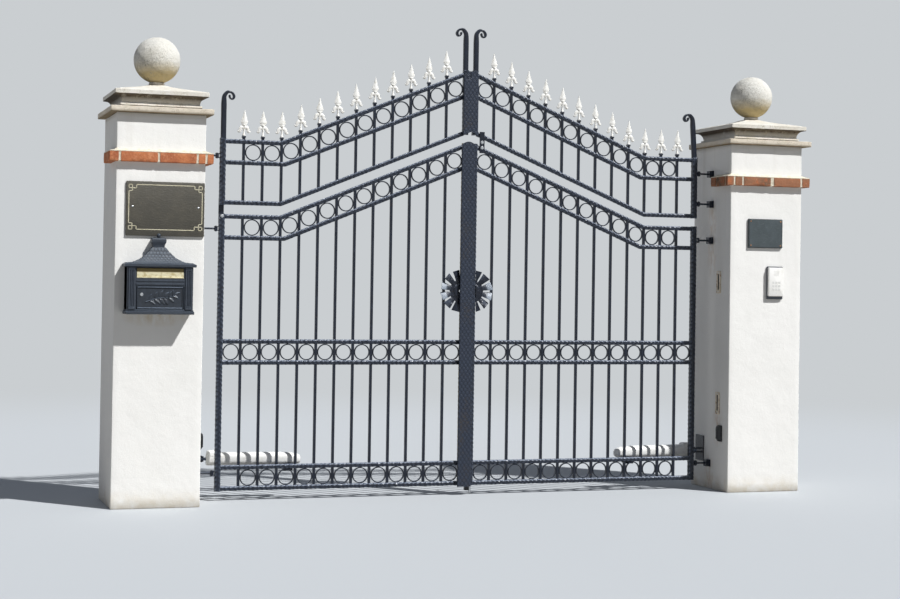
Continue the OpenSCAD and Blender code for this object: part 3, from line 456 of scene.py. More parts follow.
def painted_render():
    # Masonry paint rolled on sand and cement render: a dead matt white with a sandy grain,
    # grey washed down from the caps, earth splashed up the foot and rust below the hinges
    coat = Coat("rolled_masonry_paint", 0.9)
    layers = [
        (coat.patches(0.6, 0.45, 0.8, 1), "ECEBE6"),
        (coat.patches(0.09, 0.5, 0.75, 3, stretch=(1, 1, 0.07)), coat.band("Z", 2.3, 1.2), "E7E5DF"),
        (coat.patches(0.07, 0.3, 0.66, 7), coat.band("Z", 0.0, 0.12), "DDD5C4"),
        (coat.patches(0.012, 0.68, 0.74, 5), "DAD7CE"),
        (coat.near((-0.01, -0.26, 1.11), 0.2, (0.9, 1, 3.0)),
         coat.patches(0.05, 0.36, 0.62, 15, stretch=(1, 1, 0.4)), "D9CCB4")]
    streaks = coat.patches(0.03, 0.38, 0.75, 9, stretch=(1, 1, 0.4))
    inner = POST_X["right"] - POST_HALF
    for x, y, z in [(POST_HALF, 0, 0.15), (POST_HALF, 0, 1.6), (inner, 0, 0.15), (inner, 0, 1.6),
                    (inner, 0, 1.84), (inner, -0.115, 0.5)]:
        layers.append((coat.near((x, y, z - 0.07), 0.13, (1, 1.7, 0.8)), streaks, "BFA284"))
    # Sand grain drawn at 4 mm: the real 1 mm grain is finer than a pixel
    return coat.lay(chosen("render"), layers, [
        (coat.patches(0.16, 0.3, 0.7, 2), 0.0020), (coat.patches(0.004, 0.2, 0.8, 4, 2.0), 0.0005)])


def fired_brick(name, base, dark, warm):
    # Wire-cut clay brick: a dry, sandy face with burnt and pale patches, each brick its own tone
    coat = Coat(name, 0.9)
    tone = add(coat.tree, "ShaderNodeAttribute", attribute_name="tone").outputs["Fac"]
    return coat.lay(chosen(base), [
        (tone, coat.patches(0.09, 0.35, 0.6, 4), dark),
        (coat.patches(0.05, 0.52, 0.7, 8), warm),
        (coat.patches(0.006, 0.62, 0.72, 2), "D8B496"),
        (coat.patches(0.02, 0.56, 0.66, 6), coat.facing((0, 0, 1), 0.0, 0.9), "8B8574")],
        [(coat.patches(0.012, 0.3, 0.7, 3, 6), 0.0016), (coat.patches(0.003, 0.3, 0.7, 5), 0.0005)])


def mortar():
    # Sand mortar pointed by hand: pale cream, open grained and dead matt
    coat = Coat("sand_mortar", 0.95)
    return coat.lay(linear("E6DECB"), [(coat.patches(0.02, 0.45, 0.7, 2), "C9BFA6")],
                    [(coat.patches(0.004, 0.25, 0.75, 1), 0.0012)])


def cast_stone(name, base, stain, lichen, under, speck, toward, pit):
    # Cast stone from a mould: a close sandy face that rain has washed, lichen on what looks up and
    # a brown painted shade on what hangs over
    coat = Coat(name, 0.92)
    return coat.lay(linear(base), [
        (coat.patches(0.12, 0.42, 0.72, 1), stain),
        (coat.facing((0, 0, 1), 0.1, 0.8), coat.patches(0.045, 0.48, 0.64, 5), lichen),
        # Painted shade: a darker brown on the faces that look down
        (coat.facing((0, 0, -1), 0.1, 0.65), coat.patches(0.05, 0.1, 0.4, 11), under),
        (coat.facing(toward, 0.1, 0.75), coat.patches(0.05, 0.42, 0.66, 13),
         coat.patches(0.008, 0.42, 0.66, 14), speck)],
        [(coat.patches(0.02, 0.3, 0.7, 6, 5), 0.0016 * pit),
         (coat.patches(0.005, 0.35, 0.6, 7), 0.0009 * pit)])


def iron_paint(name, dent, dust_and_sheen, weathered=False):
    # Black gate paint brushed on wrought iron: a blue-black satin skin, blue-grey dust on what looks up that
    # also paints the sky's sheen on the tops, painted highlights along the hammer's dents, a few rust blooms
    # and, on the left meeting stile, bare ochre
    coat = Coat(name, 0.34, Specular_IOR_Level=0.36)
    tone = add(coat.tree, "ShaderNodeAttribute", attribute_name="tone").outputs["Fac"]
    layers = [
        (coat.patches(0.05, 0.4, 0.7, 3), "1F2633"),
        # Blue-grey dust on what looks up, which also stands for a painted sheen of the sky
        (coat.facing((0, 0, 1), 0.2, 0.8), coat.patches(0.03, 0.12, 0.45, 6), dust_and_sheen),
        # Painted highlights along the hammer's dents, paler still where they look up
        (tone, coat.patches(0.02, 0.2, 0.5, 7), "5A6475"),
        (tone, coat.facing((0, 0, 1), 0.0, 0.45), coat.patches(0.03, 0.1, 0.4, 5), "A0A8B6"),
        (coat.patches(0.014, 0.68, 0.73, 8), "4E3A2E")]
    if weathered:
        side = coat.band("X", LEFT_LEAF_X + LEAF_W - 0.0355, LEFT_LEAF_X + LEAF_W - 0.0345)
        layers += [(side, coat.patches(0.12, 0.3, 0.5, 5), "B5A47A"),
                   (side, coat.patches(0.03, 0.55, 0.65, 6), "6B563A")]
    relief = [(coat.patches(0.02, 0.3, 0.7, 4), 0.0006)]
    if dent:
        cells = add(coat.tree, "ShaderNodeTexVoronoi",
                    {"Vector": coat.place, "Scale": 1 / 0.016, "Smoothness": 0.6}, feature="SMOOTH_F1")
        relief = [(cells.outputs["Distance"], dent)]
    return coat.lay(chosen("iron"), layers, relief + [(coat.patches(0.003, 0.3, 0.7, 2), 0.0002)],
                    (coat.patches(0.02, 0.3, 0.7, 9), 0.26, 0.42))


def strip_paint():
    # The same paint on pressed sheet: the scales' raised tops are painted paler as painted highlights,
    # brightest on their slopes that look up, with a few brown specks
    coat = Coat("gate_paint_on_pressed_strip", 0.4, Specular_IOR_Level=0.3)
    tone = add(coat.tree, "ShaderNodeAttribute", attribute_name="tone").outputs["Fac"]
    return coat.lay(chosen("iron"), [
        (coat.patches(0.03, 0.35, 0.7, 3), "1B2029"),
        # Painted highlights on the scales' raised tops, brightest on their slopes that look up
        (tone, "343C4B"),
        (coat.facing((0, 0, 1), 0.08, 0.4), tone, coat.patches(0.02, 0.1, 0.4, 6), "8F9BB3"),
        (coat.patches(0.16, 0.5, 0.7, 12), coat.patches(0.012, 0.45, 0.6, 7), "3A3634")],
        [(coat.patches(0.006, 0.3, 0.7, 2), 0.0008)], (coat.patches(0.02, 0.3, 0.7, 9), 0.32, 0.52))


def finial_paint():
    # White gloss brushed on sand castings: bright, with a trace of the sand, a darker grey on patches of the
    # faces that look down, and rust flecks
    coat = Coat("white_paint_on_casting", 0.42)
    return coat.lay(chosen("finial"), [
        (coat.patches(0.018, 0.52, 0.74, 3), "D2CEC2"),
        (coat.facing((0, 0, -1), 0.1, 0.9), coat.patches(0.01, 0.3, 0.6, 6), "A9A08C"),
        (coat.patches(0.005, 0.69, 0.74, 8), "8A6A4A")],
        [(coat.patches(0.004, 0.3, 0.7, 2), 0.0005)], (coat.patches(0.02, 0.3, 0.7, 5), 0.34, 0.5))


def slate(name, base, pale, speck):
    # Riven and honed slate: dark, faintly clouded, with a dull wax shine
    coat = Coat(name, 0.5)
    return coat.lay(linear(base), [
        (coat.patches(0.07, 0.4, 0.7, 2), pale), (coat.patches(0.01, 0.6, 0.75, 5), speck)],
        [(coat.patches(0.02, 0.3, 0.7, 6, stretch=(1, 1, 4)), 0.0006)],
        (coat.patches(0.03, 0.3, 0.7, 3), 0.4, 0.62))


def factory_coat(name, code, worn_code, rough, grain=0.0002, metallic=0.0):
    # A factory coat or moulding: even colour with a slight orange peel and a little grime
    coat = Coat(name, rough, metallic)
    return coat.lay(linear(code), [(coat.patches(0.04, 0.5, 0.75, 3), worn_code)],
                    [(coat.patches(0.004, 0.3, 0.7, 2), grain)],
                    (coat.patches(0.03, 0.3, 0.7, 5), rough - 0.06, rough + 0.08))


def rusted_cream():
    # Cream paint on steel that rusts from its edges
    coat = Coat("cream_paint_on_steel", 0.5)
    spots = coat.patches(0.02, 0.56, 0.64, 4)
    return coat.lay(linear("E3D8C4"), [(coat.patches(0.03, 0.5, 0.7, 2), "CDBDA0"), (spots, "9A6E4C")],
                    [(coat.patches(0.004, 0.3, 0.7, 6), 0.0004)], (spots, 0.45, 0.85))


def letterbox_coat():
    # Graphite paint on a sand-cast box: flat and dusty, paler dust on what looks up, and painted highlights on
    # the raised tops of the roof's scales
    coat = Coat("graphite_paint_on_casting", 0.55)
    tone = add(coat.tree, "ShaderNodeAttribute", attribute_name="tone").outputs["Fac"]
    return coat.lay(linear("2A313B"), [
        (coat.patches(0.03, 0.4, 0.7, 2), "333B46"),
        (coat.facing((0, 0, 1), 0.2, 0.9), coat.patches(0.03, 0.1, 0.5, 4), "3F4955"),
        # Painted highlights on the tops of the roof's scales
        (tone, coat.patches(0.03, 0.1, 0.4, 6), "6A7683"),
        (coat.patches(0.008, 0.62, 0.7, 9), "1F242B")],
        [(coat.patches(0.004, 0.3, 0.7, 3), 0.0005)], (coat.patches(0.03, 0.3, 0.7, 7), 0.48, 0.62))


def door_coat():
    # The same paint on the sunk door, glossier, its colour painted darker for the shade in the door's recess,
    # with painted highlights on what looks up in its relief
    coat = Coat("graphite_paint_on_door", 0.4)
    # The dark base colour is painted shade for the sunk door
    return coat.lay(linear("20262E"), [
        (coat.patches(0.02, 0.4, 0.7, 2), "2A313B"),
        # Painted highlights on the relief's faces that look up
        (coat.facing((0, 0, 1), 0.2, 0.8), coat.patches(0.02, 0.1, 0.5, 4), "6C7786")],
        [(coat.patches(0.004, 0.3, 0.7, 3), 0.0005)], (coat.patches(0.02, 0.3, 0.7, 7), 0.32, 0.5))


def worn_iron():
    # Painted highlights on the rosette's twisted tabs: a paler grey laid over the ends of the two middle tabs
    coat = Coat("rubbed_gate_paint", 0.38)
    tone = add(coat.tree, "ShaderNodeAttribute", attribute_name="tone").outputs["Fac"]
    # Painted highlights: a paler grey on the ends of the tabs
    return coat.lay(linear("222935"), [(tone, coat.patches(0.02, 0.1, 0.45, 3), "7F8995")],
                    [(coat.patches(0.006, 0.3, 0.7, 4), 0.0006)])


def brass():
    # Lacquered brass that has gone dull and creamy out of doors, with a dark band painted across the flap's top
    # as the eaves' shadow
    coat = Coat("weathered_brass", 0.42, 0.35)
    return coat.lay(linear("E0D8B6"), [
        # The dark band at the top is the eaves' painted shadow
        (coat.patches(0.02, 0.45, 0.7, 2), "B8A772"), (coat.band("Z", 1.368, 1.364), "6E6038")],
        [(coat.patches(0.01, 0.3, 0.7, 4, stretch=(1, 1, 8)), 0.0002)],
        (coat.patches(0.02, 0.3, 0.7, 6), 0.36, 0.55))


# Each finish with its maker and what the maker needs; a factory coat has its name, its colour,
# its grimy colour and its roughness, and then its grain and how metallic it is
COATS = {
    "render": (painted_render,), "mortar": (mortar,), "strip": (strip_paint,), "finial": (finial_paint,),
    "cream_steel": (rusted_cream,), "letterbox": (letterbox_coat,), "door_coat": (door_coat,),
    "brass": (brass,), "worn_iron": (worn_iron,),
    "left_brick": (fired_brick, "orange_clay_brick", "brick", "A8603E", "D6946A"),
    "right_brick": (fired_brick, "mottled_clay_brick", "brick_right", "5A4E3E", "B4683F"),
    "slab": (cast_stone, "sandy_cast_stone", "E6DCCB", "DBCFBA", "CFC3AD", "8C7B60", "B3A68F",
             (0, -1, 0), 1.0),
    "cap": (cast_stone, "pale_cast_stone", "E8E4DB", "DDD7C9", "D6D1C4", "54493B", "B9B09A",
            (0, -1, 0), 1.0),
    # The ball's grey specks lie on its lower left, the side turned from the key lamp, and partly paint its
    # shade
    "ball": (cast_stone, "pitted_cast_stone", "E5E3DB", "DAD6CA", "DFDCD3", "BDAA7C", "96907E",
             (-0.75, -0.3, -0.55), 1.6),
    "iron": (iron_paint, "gate_paint_on_hammered_iron", 0.0032, "707A8C"),
    "old_iron": (iron_paint, "gate_paint_on_weathered_stile", 0.0032, "707A8C", True),
    "plain_iron": (iron_paint, "gate_paint_on_drawn_bar", 0.0, "3E4757"),
    "olive_slate": (slate, "olive_slate", "45423A", "4F4B41", "5E594C"),
    "blue_slate": (slate, "blue_slate", "3B4447", "454E52", "545C5E"),
    "slate_edge": (slate, "dark_slate_edge", "2A3034", "343B40", "40474B"),
    "inlay": (factory_coat, "cream_enamel_inlay", "D5CFB4", "B9B190", 0.5),
    "white_coat": (factory_coat, "white_powder_coat", "EDEDEA", "DDDCD6", 0.36),
    "grey_coat": (factory_coat, "blue_grey_powder_coat", "5B6677", "4C5666", 0.42),
    "station": (factory_coat, "white_moulded_cover", "EFEEEA", "E2E0D9", 0.4),
    # The back box's grey is partly painted shade round the intercom's cover
    "station_back": (factory_coat, "grey_moulded_back_box", "4A4F57", "3E434A", 0.5),
    "keys": (factory_coat, "grey_rubber_keys", "DCDCD8", "CCCCC8", 0.55),
    "dark_plastic": (factory_coat, "black_moulded_plastic", "121315", "1C1E20", 0.45),
    "lens": (factory_coat, "smoked_lens", "0D0A0B", "120E10", 0.14, 0.00002),
    # The slots' near-black fill is painted shade
    "recess": (factory_coat, "dark_recess", "121314", "1A1B1C", 0.8),
    "zinc": (factory_coat, "zinc_plate", "D2D4D6", "A2A4A6", 0.32, 0.0001, 0.85),
    "copper": (factory_coat, "copper_screw", "A5764E", "7E5636", 0.4, 0.0001, 0.8),
}


# Geometry Nodes

def new_tree(name, **inputs):
    """An empty Geometry Nodes tree with a geometry input, named inputs and one output."""
    tree = bpy.data.node_groups.new(name, "GeometryNodeTree")
    tree.interface.new_socket("Geometry", in_out="INPUT", socket_type="NodeSocketGeometry")
    for label, kind in inputs.items():
        tree.interface.new_socket(label, in_out="INPUT", socket_type="NodeSocket" + kind)
    tree.interface.new_socket("Geometry", in_out="OUTPUT", socket_type="NodeSocketGeometry")
    return tree, add(tree, "NodeGroupInput").outputs


def close_tree(tree, geometry, given):
    """Ends a tree in Realize Instances and Set Material."""
    real = add(tree, "GeometryNodeRealizeInstances", {0: geometry})
    coat = add(tree, "GeometryNodeSetMaterial", {"Geometry": real, "Material": given["Material"]})
    add(tree, "NodeGroupOutput", {0: coat})
    return tree


def hammered_tree():
    """Square bar along each line, its four edges beaten into a row of dents."""
    tree, given = new_tree("hammered_bar", Width="Float", Pitch="Float", Depth="Float", Step="Float",
                           Material="Material")
    line = add(tree, "GeometryNodeMeshToCurve", {0: given["Geometry"]})
    line = add(tree, "GeometryNodeResampleCurve", {"Curve": line, "Length": given["Step"]}, mode="LENGTH")
    kept = add(tree, "GeometryNodeCaptureAttribute", domain="POINT")
    kept.capture_items.new("FLOAT", "run")
    tree.links.new(line.outputs[0], kept.inputs[0])
    tree.links.new(add(tree, "GeometryNodeSplineParameter").outputs["Length"], kept.inputs[1])
    square = add(tree, "GeometryNodeCurvePrimitiveQuadrilateral", {0: given["Width"], 1: given["Width"]})
    square = add(tree, "GeometryNodeFilletCurve", {"Curve": square, "Radius": 0.0055}, mode="POLY")
    square = add(tree, "GeometryNodeSubdivideCurve", {"Curve": square, "Cuts": 1})
    bar = add(tree, "GeometryNodeCurveToMesh", {"Curve": kept, "Profile Curve": square, "Fill Caps": True})
    normal = add(tree, "GeometryNodeInputNormal")
    # Each edge has its own place in the wave, and the wave drifts along the bar
    phase = add(tree, "ShaderNodeVectorMath", {0: normal, 1: (2.4, 1.5, 2.4)}, operation="DOT_PRODUCT")
    drift = add(tree, "ShaderNodeTexNoise", {"Scale": 9.0, "Detail": 1.0})
    phase = add(tree, "ShaderNodeMath", {0: drift, 1: 9.0, 2: phase.outputs["Value"]}, operation="MULTIPLY_ADD")
    turns = add(tree, "ShaderNodeMath", {0: kept.outputs[1], 1: given["Pitch"]}, operation="DIVIDE")
    phase = add(tree, "ShaderNodeMath", {0: turns, 1: 2 * math.pi, 2: phase}, operation="MULTIPLY_ADD")
    wave = add(tree, "ShaderNodeMath", {0: phase}, operation="COSINE")
    wave = add(tree, "ShaderNodeMapRange", {0: wave, 1: -1.0, 2: 1.0})
    # The dents are deepest on the corners, where the normal's Y squared is a half
    along_y = add(tree, "ShaderNodeSeparateXYZ", {0: normal}).outputs[1]
    edge = add(tree, "ShaderNodeMath", {0: along_y, 1: along_y}, operation="MULTIPLY")
    edge = add(tree, "ShaderNodeMath", {0: edge, 1: 0.5}, operation="PINGPONG")
    # This share of each dent is kept as tone, which the paint turns into painted highlights along the dented
    # edges
    tone = add(tree, "ShaderNodeMath", {0: wave, 1: edge}, operation="MULTIPLY")
    tone = add(tree, "ShaderNodeMath", {0: tone, 1: 3.0}, operation="MULTIPLY")
    bar = add(tree, "GeometryNodeStoreNamedAttribute", {0: bar, 2: "tone", 3: tone}, data_type="FLOAT",
              domain="POINT")
    dent = add(tree, "ShaderNodeMath", {0: tone, 1: given["Depth"]}, operation="MULTIPLY")
    fine = add(tree, "ShaderNodeTexNoise", {"Scale": 70.0, "Detail": 0.0})
    fine = add(tree, "ShaderNodeMath", {0: fine, 1: 0.0012}, operation="MULTIPLY")
    push = add(tree, "ShaderNodeMath", {0: dent, 1: fine}, operation="ADD")
    push = add(tree, "ShaderNodeMath", {0: push, 1: -1.0}, operation="MULTIPLY")
    push = add(tree, "ShaderNodeVectorMath", {0: normal, "Scale": push}, operation="SCALE")
    bar = add(tree, "GeometryNodeSetPosition", {"Geometry": bar, "Offset": push})
    return close_tree(tree, bar, given)


def bar_tree():
    """Plain square bar with eased edges along each line."""
    tree, given = new_tree("drawn_bar", Width="Float", Material="Material")
    line = add(tree, "GeometryNodeMeshToCurve", {0: given["Geometry"]})
    square = add(tree, "GeometryNodeCurvePrimitiveQuadrilateral", {0: given["Width"], 1: given["Width"]})
    square = add(tree, "GeometryNodeFilletCurve", {"Curve": square, "Radius": 0.0012}, mode="POLY")
    bar = add(tree, "GeometryNodeCurveToMesh", {"Curve": line, "Profile Curve": square, "Fill Caps": True})
    return close_tree(tree, bar, given)


def ring_tree():
    """A ring of flat bar on each point, its weld turned by a fixed random amount."""
    tree, given = new_tree("band_ring", Outer="Float", Thickness="Float", Depth="Float", Material="Material")
    half = add(tree, "ShaderNodeMath", {0: given["Outer"], 1: given["Thickness"]}, operation="SUBTRACT")
    radius = add(tree, "ShaderNodeMath", {0: half, 1: 0.5}, operation="MULTIPLY")
    hoop = add(tree, "GeometryNodeCurvePrimitiveCircle", {"Resolution": 36, "Radius": radius}, mode="RADIUS")
    flat = add(tree, "GeometryNodeCurvePrimitiveQuadrilateral", {0: given["Thickness"], 1: given["Depth"]})
    flat = add(tree, "GeometryNodeFilletCurve", {"Curve": flat, "Radius": 0.001}, mode="POLY")
    ring = add(tree, "GeometryNodeCurveToMesh", {"Curve": hoop, "Profile Curve": flat})
    ring = add(tree, "GeometryNodeTransform", {"Geometry": ring, "Rotation": (math.pi / 2, 0, 0)})
    turn = add(tree, "FunctionNodeRandomValue", {2: 0.0, 3: 2 * math.pi, "Seed": 4}, data_type="FLOAT")
    angle = add(tree, "ShaderNodeCombineXYZ", {1: turn.outputs[1]})
    placed_rings = add(tree, "GeometryNodeInstanceOnPoints",
                       {"Points": given["Geometry"], "Instance": ring, "Rotation": angle})
    return close_tree(tree, placed_rings, given)


def copy_tree():
    """A copy of one model on each point, leaning by a small fixed random angle."""
    tree, given = new_tree("placed_copies", Model="Object", Lean="Float", Material="Material")
    copied = add(tree, "GeometryNodeObjectInfo", {"Object": given["Model"]}).outputs["Geometry"]
    low = add(tree, "ShaderNodeMath", {0: given["Lean"], 1: -1.0}, operation="MULTIPLY")
    lean = [add(tree, "FunctionNodeRandomValue", {2: low, 3: given["Lean"], "Seed": seed}, data_type="FLOAT")
            for seed in (3, 8)]
    angle = add(tree, "ShaderNodeCombineXYZ", {1: lean[0].outputs[1], 2: lean[1].outputs[1]})
    placed_copies = add(tree, "GeometryNodeInstanceOnPoints",
                        {"Points": given["Geometry"], "Instance": copied, "Rotation": angle})
    return close_tree(tree, placed_copies, given)


TREES = {"hammered": hammered_tree, "bar": bar_tree, "ring": ring_tree, "copies": copy_tree}
GROWN = {}


def grow(name, kind, points, edges, values, body, **settling):
    """Runs a node tree on points or lines and keeps the result as a plain mesh on a body."""
    if kind not in GROWN:
        GROWN[kind] = TREES[kind]()
    mesh = bpy.data.meshes.new(name + "_lines")
    mesh.from_pydata([tuple(map(float, p)) for p in points], edges, [])
    source = bpy.data.objects.new(name + "_lines", mesh)
    bpy.context.scene.collection.objects.link(source)
    modifier = source.modifiers.new("Grow", "NODES")
    modifier.node_group = GROWN[kind]
    for item in GROWN[kind].interface.items_tree:
        if item.item_type == "SOCKET" and item.in_out == "INPUT" and item.name in values:
            modifier[item.identifier] = values[item.name]
    done = bpy.data.meshes.new_from_object(source.evaluated_get(bpy.context.evaluated_depsgraph_get()))
    source.modifiers.clear()
    bpy.data.objects.remove(source)
    bpy.data.meshes.remove(mesh)
    done.name = name
    return settle(name, done, body, **settling)


def copies(name, form, coat, spots, body, slot, lean=0.0, **settling):
    """Copies of a small model on its spots, by the tree of placed copies."""
    master = model(name + "_model", form, coat)
    grow(name, "copies", spots, [], {"Model": master, "Lean": lean, "Material": material(coat)}, body,
         slot=slot, **settling)
    bpy.data.objects.remove(master)


def screws(name, spots, r, coat="zinc", turn=0.0):
    """Dome-headed screws with a slot on a post, heads towards the street or turned about Z."""
    dome = [(r * 0.98, 0.0), (r, -0.0008), (r * 0.8, -0.002), (r * 0.35, -0.0027)]
    head = Form().add(turned(dome, (0, 0, 0), "Y", 16))
    head.add(block((-r * 0.75, -0.0031, -0.0006), (r * 0.75, -0.002, 0.0006), 0.0002))
    spin = np.array(Matrix.Rotation(turn, 3, "Z") @ Matrix.Rotation(0.5, 3, "Y"))
    head.points = [p @ spin.T for p in head.points]
    copies(name, head, coat, spots, "posts", "bare_steel")


# Layout of a leaf, measured from the outer edge of its hinge stile

class Layout:
    """Places of bars, cells, rails and finials, worked out from the user's sizes."""

    def __init__(self):
        self.s = s = bpy.context.scene.gate_sizes
        self.cell = (LEAF_W - 2 * s.stile - s.bars * s.bar) / (s.bars + 1)
        self.pitch = self.cell + s.bar
        self.knee = self.bar_x(s.knee_bars)
        self.band = s.ring_outer + s.rail
        self.slope = math.tan(s.rise)
        self.skew = 1 / math.cos(s.rise)
        self.foot = s.low_rail - s.rail / 2 - 0.002
        self.gate_top = s.leaf_top + s.rail / 2 + 0.002
        self.meet_top = s.leaf_top + self.rise(LEAF_W) + s.rail / 2 * self.skew
        self.panel_foot = s.panel_low - s.rail / 2 - 0.002
        self.outer_top = s.panel_top + s.rail / 2 + 0.004
        self.meet_panel_top = s.panel_top + self.rise(LEAF_W) + s.rail / 2 * self.skew + 0.002

    def bar_x(self, i):
        return self.s.stile + i * self.pitch - self.s.bar / 2

    def cell_x(self, i):
        return self.s.stile + i * self.pitch + self.cell / 2

    def rise(self, x):
        return max(0.0, x - self.knee) * self.slope

    def knee_line(self, z, off, x0, x1):
        """The middle line of a rail that runs level to the knee and then rises."""
        bend = self.knee + off * math.tan(self.s.rise / 2)
        return [(x0, 0, z - off), (bend, 0, z - off), (x1, 0, z + self.rise(x1) - off * self.skew)]

    def band_middle(self, z, x):
        return z - self.band / 2 if x <= self.knee else z + self.rise(x) - self.band / 2 * self.skew

    def finial_z(self, i):
        x = self.bar_x(i)
        extra = self.s.rail / 2 * (self.skew - 1) if x > self.knee else 0
        return self.s.panel_top + self.rise(x) + self.s.rail / 2 + 0.022 + extra


def placed(points, side):
    """Points in leaf coordinates, put on their leaf."""
    return [(LEFT_LEAF_X + x, y, z) if side == "left" else (RIGHT_LEAF_X - x, y, z) for x, y, z in points]


def chained(lines):
    """Points and edges of several polylines."""
    points, edges = [], []
    for line in lines:
        edges += [(len(points) + i, len(points) + i + 1) for i in range(len(line) - 1)]
        points += line
    return points, edges


# Posts

class GATE_OT_posts(bpy.types.Operator):
    """Two rendered square posts with soft arrises"""
    bl_idname = "gate.posts"
    bl_label = "Posts"

    def execute(self, context):
        for side, seed in (("left", 3), ("right", 9)):
            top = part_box(side + "_post")[1].z
            levels = [(0.0, 0.004), (0.004, 0.0)] + [(z, 0.0) for z in np.linspace(0.06, top - 0.03, 52)] + [
                (top - 0.003, 0.0), (top, 0.003)]
            shell = loft([squared(POST_HALF - inset, z, 0.005, 16, 4) for z, inset in levels])
            shell = moved(worn(shell, (0.0024, 0.0010), (0.35, 0.07), seed=seed), POST_X[side])
            Form().add(shell).piece(side + "_rendered_post", "posts", "render", replaces=[side + "_post"],
                                    slot="render", sharp=60)
        return {"FINISHED"}


class GATE_OT_caps(bpy.types.Operator):
    """Cap slabs, moulded capstones and ball finials in cast stone"""
    bl_idname = "gate.caps"
    bl_label = "Caps and balls"

    def execute(self, context):
        for side, seed in (("left", 5), ("right", 21)):
            lo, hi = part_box(side + "_cap_slab")
            x, half = (lo.x + hi.x) / 2, (hi.x - lo.x) / 2
            rings = [squared(half - inset, z, 0.004, 26, 3) for z, inset in [
                (lo.z, 0.003), (lo.z + 0.003, 0.0), ((lo.z + hi.z) / 2, 0.0), (hi.z - 0.003, 0.0),
                (hi.z, 0.004), (hi.z + 0.0005, 0.06)]]
            shell = moved(worn(loft(rings), (0.0025, 0.0015), (0.08, 0.02), seed=seed), x)
            Form().add(shell).piece(side + "_sandy_slab", "posts", "slab", replaces=[side + "_cap_slab"],
                                    slot="cast_stone", sharp=50)
            self.capstone(side, x, seed + 2)
            self.ball(side, seed)
        return {"FINISHED"}

    def capstone(self, side, x, seed):
        """A small fillet, a hollow moulding, a square edge and a shallow pyramid with its neck."""
        lo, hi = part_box(side + "_capstone")
        half, top = (hi.x - lo.x) / 2, 0.101
        profile = [*mm([(-46, 0), (-46, 6), (-37, 8), (-35, 10), (-35, 19), (-37, 21), (-47, 23)])]
        profile += [(-0.047 + 0.033 * (1 - math.cos(a)), 0.024 + 0.046 * math.sin(a))
                    for a in np.linspace(0.1, math.pi / 2, 9)]
        profile += [*mm([(-12, 71), (-3, 72), (0, 75), (0, 97)]), (-0.005, top)]
        profile += [(half * (k - 1), top + rise) for k, rise in [(0.75, 0.0135), (0.5, 0.027), (0.28, 0.042)]]
        profile.append((0.046 - half, top + 0.053))
        rings = [squared(half + r, lo.z + z, min(0.005, (half + r) * 0.4), 26, 3) for r, z in profile]
        shell = worn(loft(rings), (0.0025, 0.0014), (0.09, 0.02), seed=seed,
                     hold=lambda p: np.clip(np.abs(p[:, :2]).max(1) / 0.2, 0, 1))
        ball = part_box(side + "_ball")
        neck = turned([(0.047, lo.z + top + 0.045), (0.0475, lo.z + top + 0.054), (0.0455, hi.z + 0.001)],
                      ((ball[0].x + ball[1].x) / 2, 0, 0), sides=40)
        Form().add(moved(shell, x)).add(neck).piece(side + "_moulded_capstone", "posts", "cap",
                                                    replaces=[side + "_capstone"], slot="cast_stone", sharp=40)

    def ball(self, side, seed):
        lo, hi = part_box(side + "_ball")
        half = (hi.x - lo.x) / 2
        r, mid = half - 0.0004, hi.z - half
        low = math.asin(min(1.0, (mid - lo.z) / r))
        arc = np.linspace(-low, math.pi / 2 - 0.02, 56)
        p, faces = turned([(r * math.cos(a), r * math.sin(a)) for a in arc], (0, 0, 0), sides=88)
        dent = 0.0012 * (1 + lumps(p, 0.03, seed)) / 2 + 0.0016 * np.clip(lumps(p, 0.009, seed + 4) - 0.1, 0, 1)
        p = p * (1 - dent / r)[:, None] + ((lo.x + hi.x) / 2, 0, mid)
        Form().add((p, faces)).piece(side + "_stone_ball", "posts", "ball", replaces=[side + "_ball"],
                                     slot="cast_stone", sharp=70)


